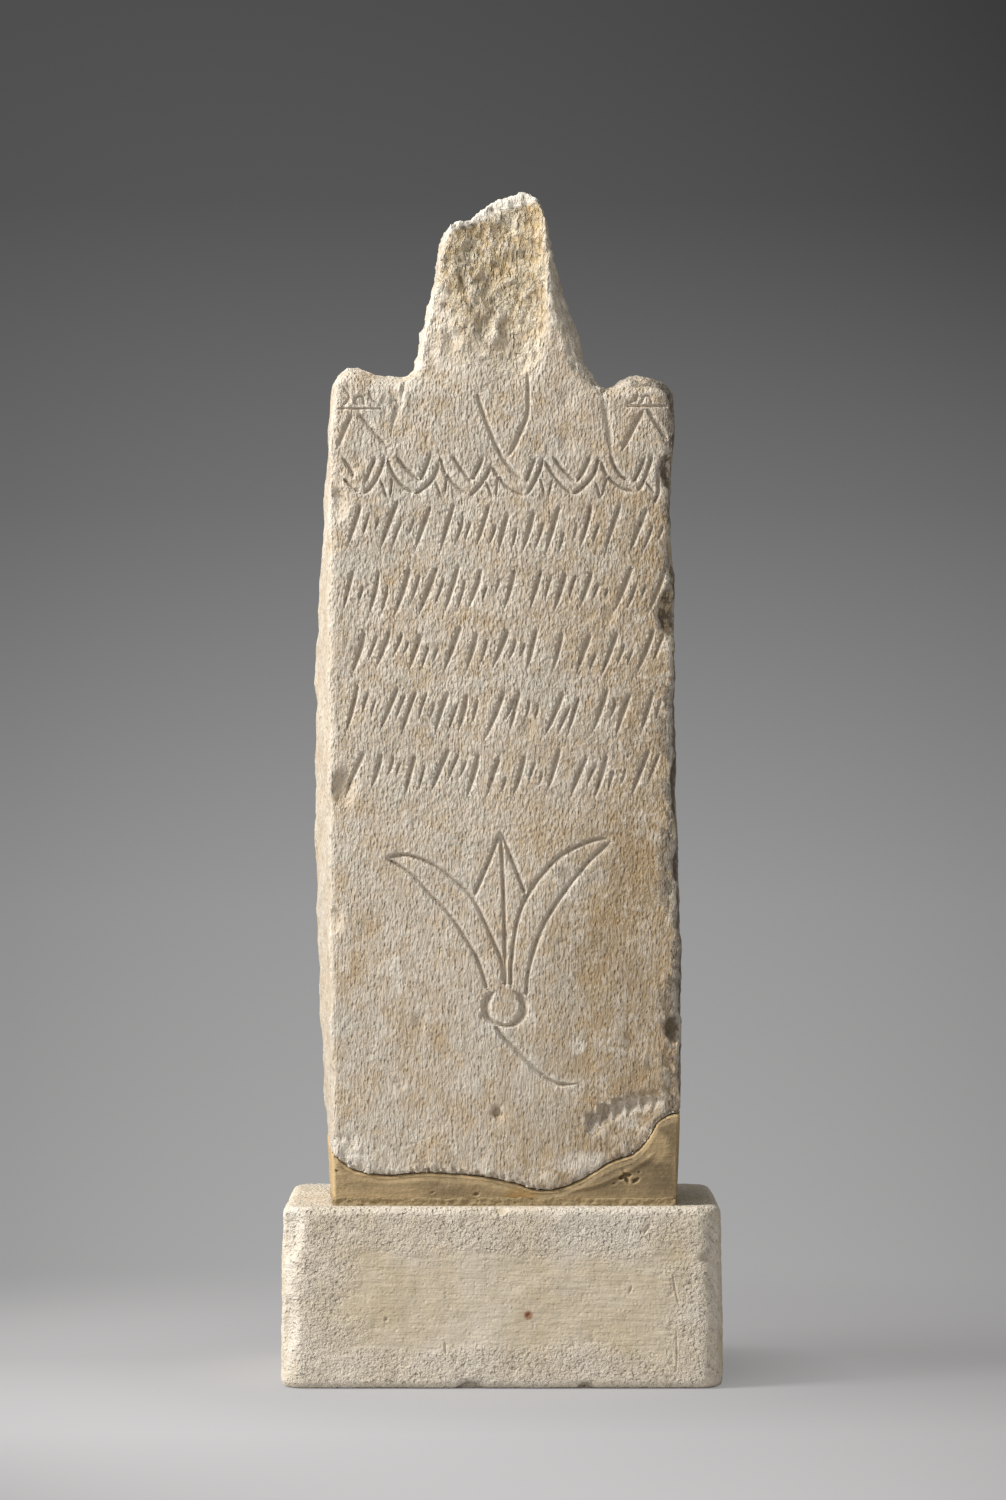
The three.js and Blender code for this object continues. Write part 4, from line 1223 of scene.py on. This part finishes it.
class STELE_OT_foot(bpy.types.Operator):
    """Make the plaster foot with its raised lip and its holes"""
    bl_idname = "stele.foot"
    bl_label = "Plaster foot"

    def execute(self, context):
        scene = context.scene
        material = toned_plaster(scene.stele_colours)
        obj = even_copy("plaster_foot", "modelled_foot", scene.stele_weathering.filler_mesh)
        mark_joints(obj, ("stele_stone", "mortar_bed", "dowel_left", "dowel_right"), 0.6 * MM)
        points, normals = points_of(obj.data), normals_of(obj.data)
        across, height = points[:, 0], points[:, 2] - FOOT_Z
        edge = broken_edge(2.5)
        line = np.array(edge) * MM
        under = np.interp(across, line[:, 0], line[:, 1]) - height - 1.1 * MM
        uneven = 0.5 + 0.5 * np.sin(across / 0.005 + 2 * np.sin(across / 0.013))
        lip = ease(abs(under), 1.1 * MM, 0.3 * MM) * (0.25 + 0.45 * uneven)
        patch = np.hypot((across - 0.0665) / 0.006, (height - 0.0225) / 0.0075)
        on_front = points[:, 1] < FACE_Y + 4 * MM
        # Painted light: the side that faces the key lamp and the lip below the break are marked pale, as is a
        # patch at the right.
        pale = [0.8 * ease(-normals[:, 0], 0.3, 0.8), 0.5 * ease(patch, 1.1, 0.7) * on_front, lip * on_front]
        keep_columns(obj.data, pale=np.maximum.reduce(pale), rough=0, pitting=1)
        weather(
            obj, material, swell=(1.6, 20), grain=(0.6, 5), stretch=PLASTER_GRAIN, pits=(1.0, 9, 0.14),
            broken=(0.0, 5), seed=8.0)

        # Holes, and the lip: a raised line below the break and a long ridge at the right. What is raised has a
        # depth below zero.
        holes_and_lip = [
            cut([(-72.2, 12.4), (-70.9, 11.6)], 2.2, 1.6, 1, 1),
            cut([(50.4, 8.4), (53, 10.2), (56.2, 10.4)], 2.6, 2.4, 1, 1),
            cut([(52.4, 11.6), (54.4, 6.6)], 2, 2, 1, 1),
            cut([(56, 7.2), (59.4, 8.8)], 2.2, 1.8, 1, 1),
            cut([(47.6, 6.4), (49.4, 7)], 1.5, 1.1, 1, 1),
            cut([(58.6, 12.2), (59.8, 11)], 1.6, 1.2, 1, 1),
            cut([(-31, 2.6), (-29.2, 3)], 1.4, 1, 1, 1),
            cut([(-12.5, 1.8), (-9.8, 2.4)], 2, 1.4, 1, 1),
            cut([(x, z - 1.2) for x, z in edge], 2, -0.5, 2, 2),
            cut([(25, 3.4), (40, 6), (52, 11.2), (60, 15.4), (66.5, 20.4)], 3.4, -0.6, 8, 4),
        ]
        paths = draw_paths(obj, holes_and_lip, FACE_Y, FOOT_Z, reach=2.2 * MM, layer=8 * MM)
        carve(obj, material, paths, FACE_Y, reach=4, snap=0.2)
        mark_wear(obj.data, 0.4 * MM)
        finish_piece(obj, "plaster_foot", material)
        return {"FINISHED"}


def press_lumps(bm):
    """Adds flattened lumps of mortar that stand out of the bed's joints, front and back."""
    rng = random.Random(4)
    low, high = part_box("mortar_bed")
    runs = [((low[0], low[1]), (high[0], low[1])), ((high[0], high[1]), (low[0], high[1]))]
    for start, end in runs:
        run = Vector(end) - Vector(start)
        turn = Matrix.Rotation(math.atan2(run.y, run.x), 4, "Z")
        for joint, rise in ((high[2], 0.5), (low[2], 0.1)):
            along = rng.uniform(4, 6) * MM
            while along < run.length - 5 * MM:
                at = Vector(start) + run.normalized() * along
                up = joint + rng.uniform(-0.4, rise) * MM
                half = [rng.uniform(*sizes) * MM for sizes in ((1.5, 4.5), (0.25, 0.42), (0.5, 1.0))]
                place = Matrix.Translation((at.x, at.y, up)) @ turn @ Matrix.Diagonal((*half, 1))
                bmesh.ops.create_icosphere(bm, subdivisions=2, radius=1, matrix=place)
                along += rng.uniform(1.2, 4.5) * MM


class STELE_OT_bed(bpy.types.Operator):
    """Make the crumbly bed of mortar"""
    bl_idname = "stele.bed"
    bl_label = "Mortar bed"

    def execute(self, context):
        scene = context.scene
        material = lime_mortar(scene.stele_colours)
        obj = even_copy("mortar_bed", "crumbled_bed", scene.stele_weathering.bed_mesh, press_lumps)
        mark_joints(obj, ("plaster_foot", "plinth", "dowel_left", "dowel_right"), 0.4 * MM)
        points, normals = points_of(obj.data), normals_of(obj.data)
        points[:, 2] += JOINT_FILL * normals[:, 2]
        keep_points(obj.data, points)
        keep_columns(obj.data, rough=1, pitting=1)
        weather(
            obj, material, swell=(1.2, 12), grain=(0.6, 2.6), stretch=MORTAR_GRAIN, pits=(0.6, 4, 0.4),
            broken=(3, 4), seed=5.0)
        mark_wear(obj.data, 0.4 * MM)
        finish_piece(obj, "mortar_bed", material)
        return {"FINISHED"}


class STELE_OT_plinth(bpy.types.Operator):
    """Weather the plinth, with its pits, scratches and worn edges"""
    bl_idname = "stele.plinth"
    bl_label = "Plinth"

    def execute(self, context):
        scene = context.scene
        material = pitted_plinth_stone(scene.stele_colours)
        obj = even_copy("plinth", "pitted_plinth", scene.stele_weathering.plinth_mesh)
        mark_joints(obj, ("mortar_bed", "plinth_resin_left", "plinth_resin_right"), 0.6 * MM)
        underside = points_of(obj.data)[:, 2] < 0.6 * MM
        keep_columns(obj.data, calm=np.maximum(column(obj.data, "calm"), underside))
        wear_plinth(obj.data)
        weather(
            obj, material, swell=(1.4, 28), grain=(0.6, 3.6), stretch=PLINTH_GRAIN, pits=(0.5, 3.4, 0.4),
            broken=(2, 6), seed=6.0)
        scratches = [
            cut([(73.1, 50), (74.6, 42), (76.1, 35.4)], 1.1, 0.5, 3, 3),
            cut([(55.9, 44.6), (54.6, 41)], 1.6, 0.7, 1, 1),
            cut([(63.6, 71), (61, 66.6)], 2, 0.9, 1.5, 1.5),
            cut([(74.8, 25.4), (75.2, 14), (74.6, 6)], 1.0, 0.45, 4, 4),
            cut([(-50.6, 30.8), (-49.2, 29.4)], 2.4, 1.2, 1, 1),
            cut([(-24.6, 21), (-24.2, 14.6)], 1.6, 0.6, 2, 2),
            cut([(10.4, 32.4), (12, 31.4)], 2.6, 0.9, 1, 1),
        ]
        paths = draw_paths(obj, scratches, PLINTH_FRONT, 0, reach=2 * MM, layer=6 * MM, divisions=2)
        carve(obj, material, paths, PLINTH_FRONT, reach=5, snap=0.18)
        mark_wear(obj.data, 0.45 * MM)
        finish_piece(obj, "plinth", material)
        return {"FINISHED"}


class STELE_OT_fixings(bpy.types.Operator):
    """Give the hidden dowels and their resin a finish"""
    bl_idname = "stele.fixings"
    bl_label = "Dowels and resin"

    def execute(self, context):
        colours = context.scene.stele_colours
        steel, resin = drawn_steel(colours), cured_resin(colours)
        for name, piece in frame["nodes"].items():
            if name.startswith("dowel"):
                piece.material_slots[0].material = steel
            elif "resin" in name:
                piece.material_slots[0].material = resin
        return {"FINISHED"}


class STELE_OT_studio(bpy.types.Operator):
    """Set up floor, backdrop tone, lamps and camera"""
    bl_idname = "stele.studio"
    bl_label = "Studio"

    def execute(self, context):
        scene = context.scene
        studio = scene.stele_studio
        self.floor(scene)
        self.backdrop(scene, studio)
        self.lamp("key", Vector(KEY_DIRECTION), KEY_DISTANCE, studio.key_size, studio.key_level)
        self.lamp("fill", Vector(FILL_DIRECTION), FILL_DISTANCE, FILL_SIZE, studio.fill_level)
        self.camera(scene, studio)
        return {"FINISHED"}

    def floor(self, scene):
        bm = bmesh.new()
        bmesh.ops.create_circle(bm, cap_ends=True, radius=3, segments=96)
        floor = new_object("floor", bpy.data.meshes.new("floor"))
        bm.to_mesh(floor.data)
        bm.free()
        floor.data.materials.append(studio_floor(scene.stele_colours))

    def backdrop(self, scene, studio):
        """The camera sees a paper sweep in painted shade, darker upwards and at its sides. All else gets even
        pale light.
        """
        world = bpy.data.worlds.new("studio")
        world.use_nodes = True
        world.node_tree.nodes.clear()
        net = Net(world.node_tree)
        across, _, height = net.parts(net.node("ShaderNodeTexCoord").outputs["Generated"])
        up = net.remap(height, -0.16, 0.16)
        sweep = net.node("ShaderNodeValToRGB", {"Fac": up})
        stops = [(0.0, "#c9c7c7"), (0.07, "#c5c3c3"), (0.15, "#acabab"), (0.4, "#9a9a9a"), (0.66, "#727272"),
                 (0.85, "#575757"), (1.0, "#4f4f4f")]
        for _ in stops[2:]:
            sweep.color_ramp.elements.new(0.5)
        for element, (place, code) in zip(sweep.color_ramp.elements, stops):
            element.position = place
            element.color = (*linear(code), 1)
        # Painted shade: darker at the sides, and at the top lighter at the left and darker at the right.
        rim = net.remap(net.times(across, across), 0, 0.01, 1, 0.84)
        lean = net.remap(across, -0.1, 0.1, 0.1, -0.3)
        level = net.math("MULTIPLY_ADD", lean, net.remap(up, 0.6, 1, smooth=True), rim)
        seen = net.scaled(sweep.outputs["Color"], level)
        path = net.node("ShaderNodeLightPath").outputs
        shows = net.math("MAXIMUM", path["Is Camera Ray"], path["Is Glossy Ray"])
        shows = net.math("MAXIMUM", shows, path["Is Transmission Ray"])
        view = net.node("ShaderNodeBackground", {"Color": seen, "Strength": 1.0}).outputs[0]
        pale = {"Color": (1, 1, 1, 1), "Strength": studio.sky_level}
        light = net.node("ShaderNodeBackground", pale).outputs[0]
        mixed = net.node("ShaderNodeMixShader", {0: shows, 1: light, 2: view}).outputs[0]
        net.node("ShaderNodeOutputWorld", {"Surface": mixed})
        scene.world = world

    def lamp(self, name, direction, distance, side, level):
        """A square soft box that lights a surface facing it at the stele's middle to the given level."""
        target = Vector((0, FACE_Y, FOOT_Z + LIT_HEIGHT))
        data = bpy.data.lights.new(name, "AREA")
        data.size = side
        data.energy = level * math.pi ** 2 * distance ** 2
        lamp = new_object(name, data)
        lamp.location = target + direction.normalized() * distance
        lamp.rotation_euler = (target - lamp.location).to_track_quat("-Z", "Y").to_euler()

    def camera(self, scene, studio):
        data = bpy.data.cameras.new("camera")
        data.lens = LENS
        data.sensor_width = SENSOR
        camera = new_object("camera", data)
        camera.location = (0.0004, -studio.camera_distance, studio.camera_height)
        camera.rotation_euler = (math.pi / 2, 0, 0)
        scene.camera = camera


class VIEW3D_PT_stele(bpy.types.Panel):
    bl_label = "Votive stele"
    bl_space_type = "VIEW_3D"
    bl_region_type = "UI"
    bl_category = "Stele"

    def draw(self, context):
        for operator in OPERATORS:
            self.layout.operator(operator.bl_idname)
        for group in GROUPS:
            box = self.layout.box()
            box.label(text=group.replace("stele_", "").capitalize())
            settings = getattr(context.scene, group)
            for name in settings.__annotations__:
                box.prop(settings, name)


GROUPS = {
    "stele_carving": SteleCarving,
    "stele_weathering": SteleWeathering,
    "stele_colours": SteleColours,
    "stele_studio": SteleStudio,
}
OPERATORS = (STELE_OT_stone, STELE_OT_foot, STELE_OT_bed, STELE_OT_plinth, STELE_OT_fixings, STELE_OT_studio)


def register():
    for item in (*GROUPS.values(), *OPERATORS, VIEW3D_PT_stele):
        bpy.utils.register_class(item)
    for name, group in GROUPS.items():
        setattr(bpy.types.Scene, name, bpy.props.PointerProperty(type=group))


def unregister():
    for name in GROUPS:
        delattr(bpy.types.Scene, name)
    for item in (VIEW3D_PT_stele, *reversed(OPERATORS), *GROUPS.values()):
        bpy.utils.unregister_class(item)


def main():
    register()
    bpy.ops.stele.stone()
    bpy.ops.stele.foot()
    bpy.ops.stele.bed()
    bpy.ops.stele.plinth()
    bpy.ops.stele.fixings()
    bpy.ops.stele.studio()
    view = bpy.context.scene.view_settings
    view.view_transform = "Standard"


if __name__ == "__main__":
    main()
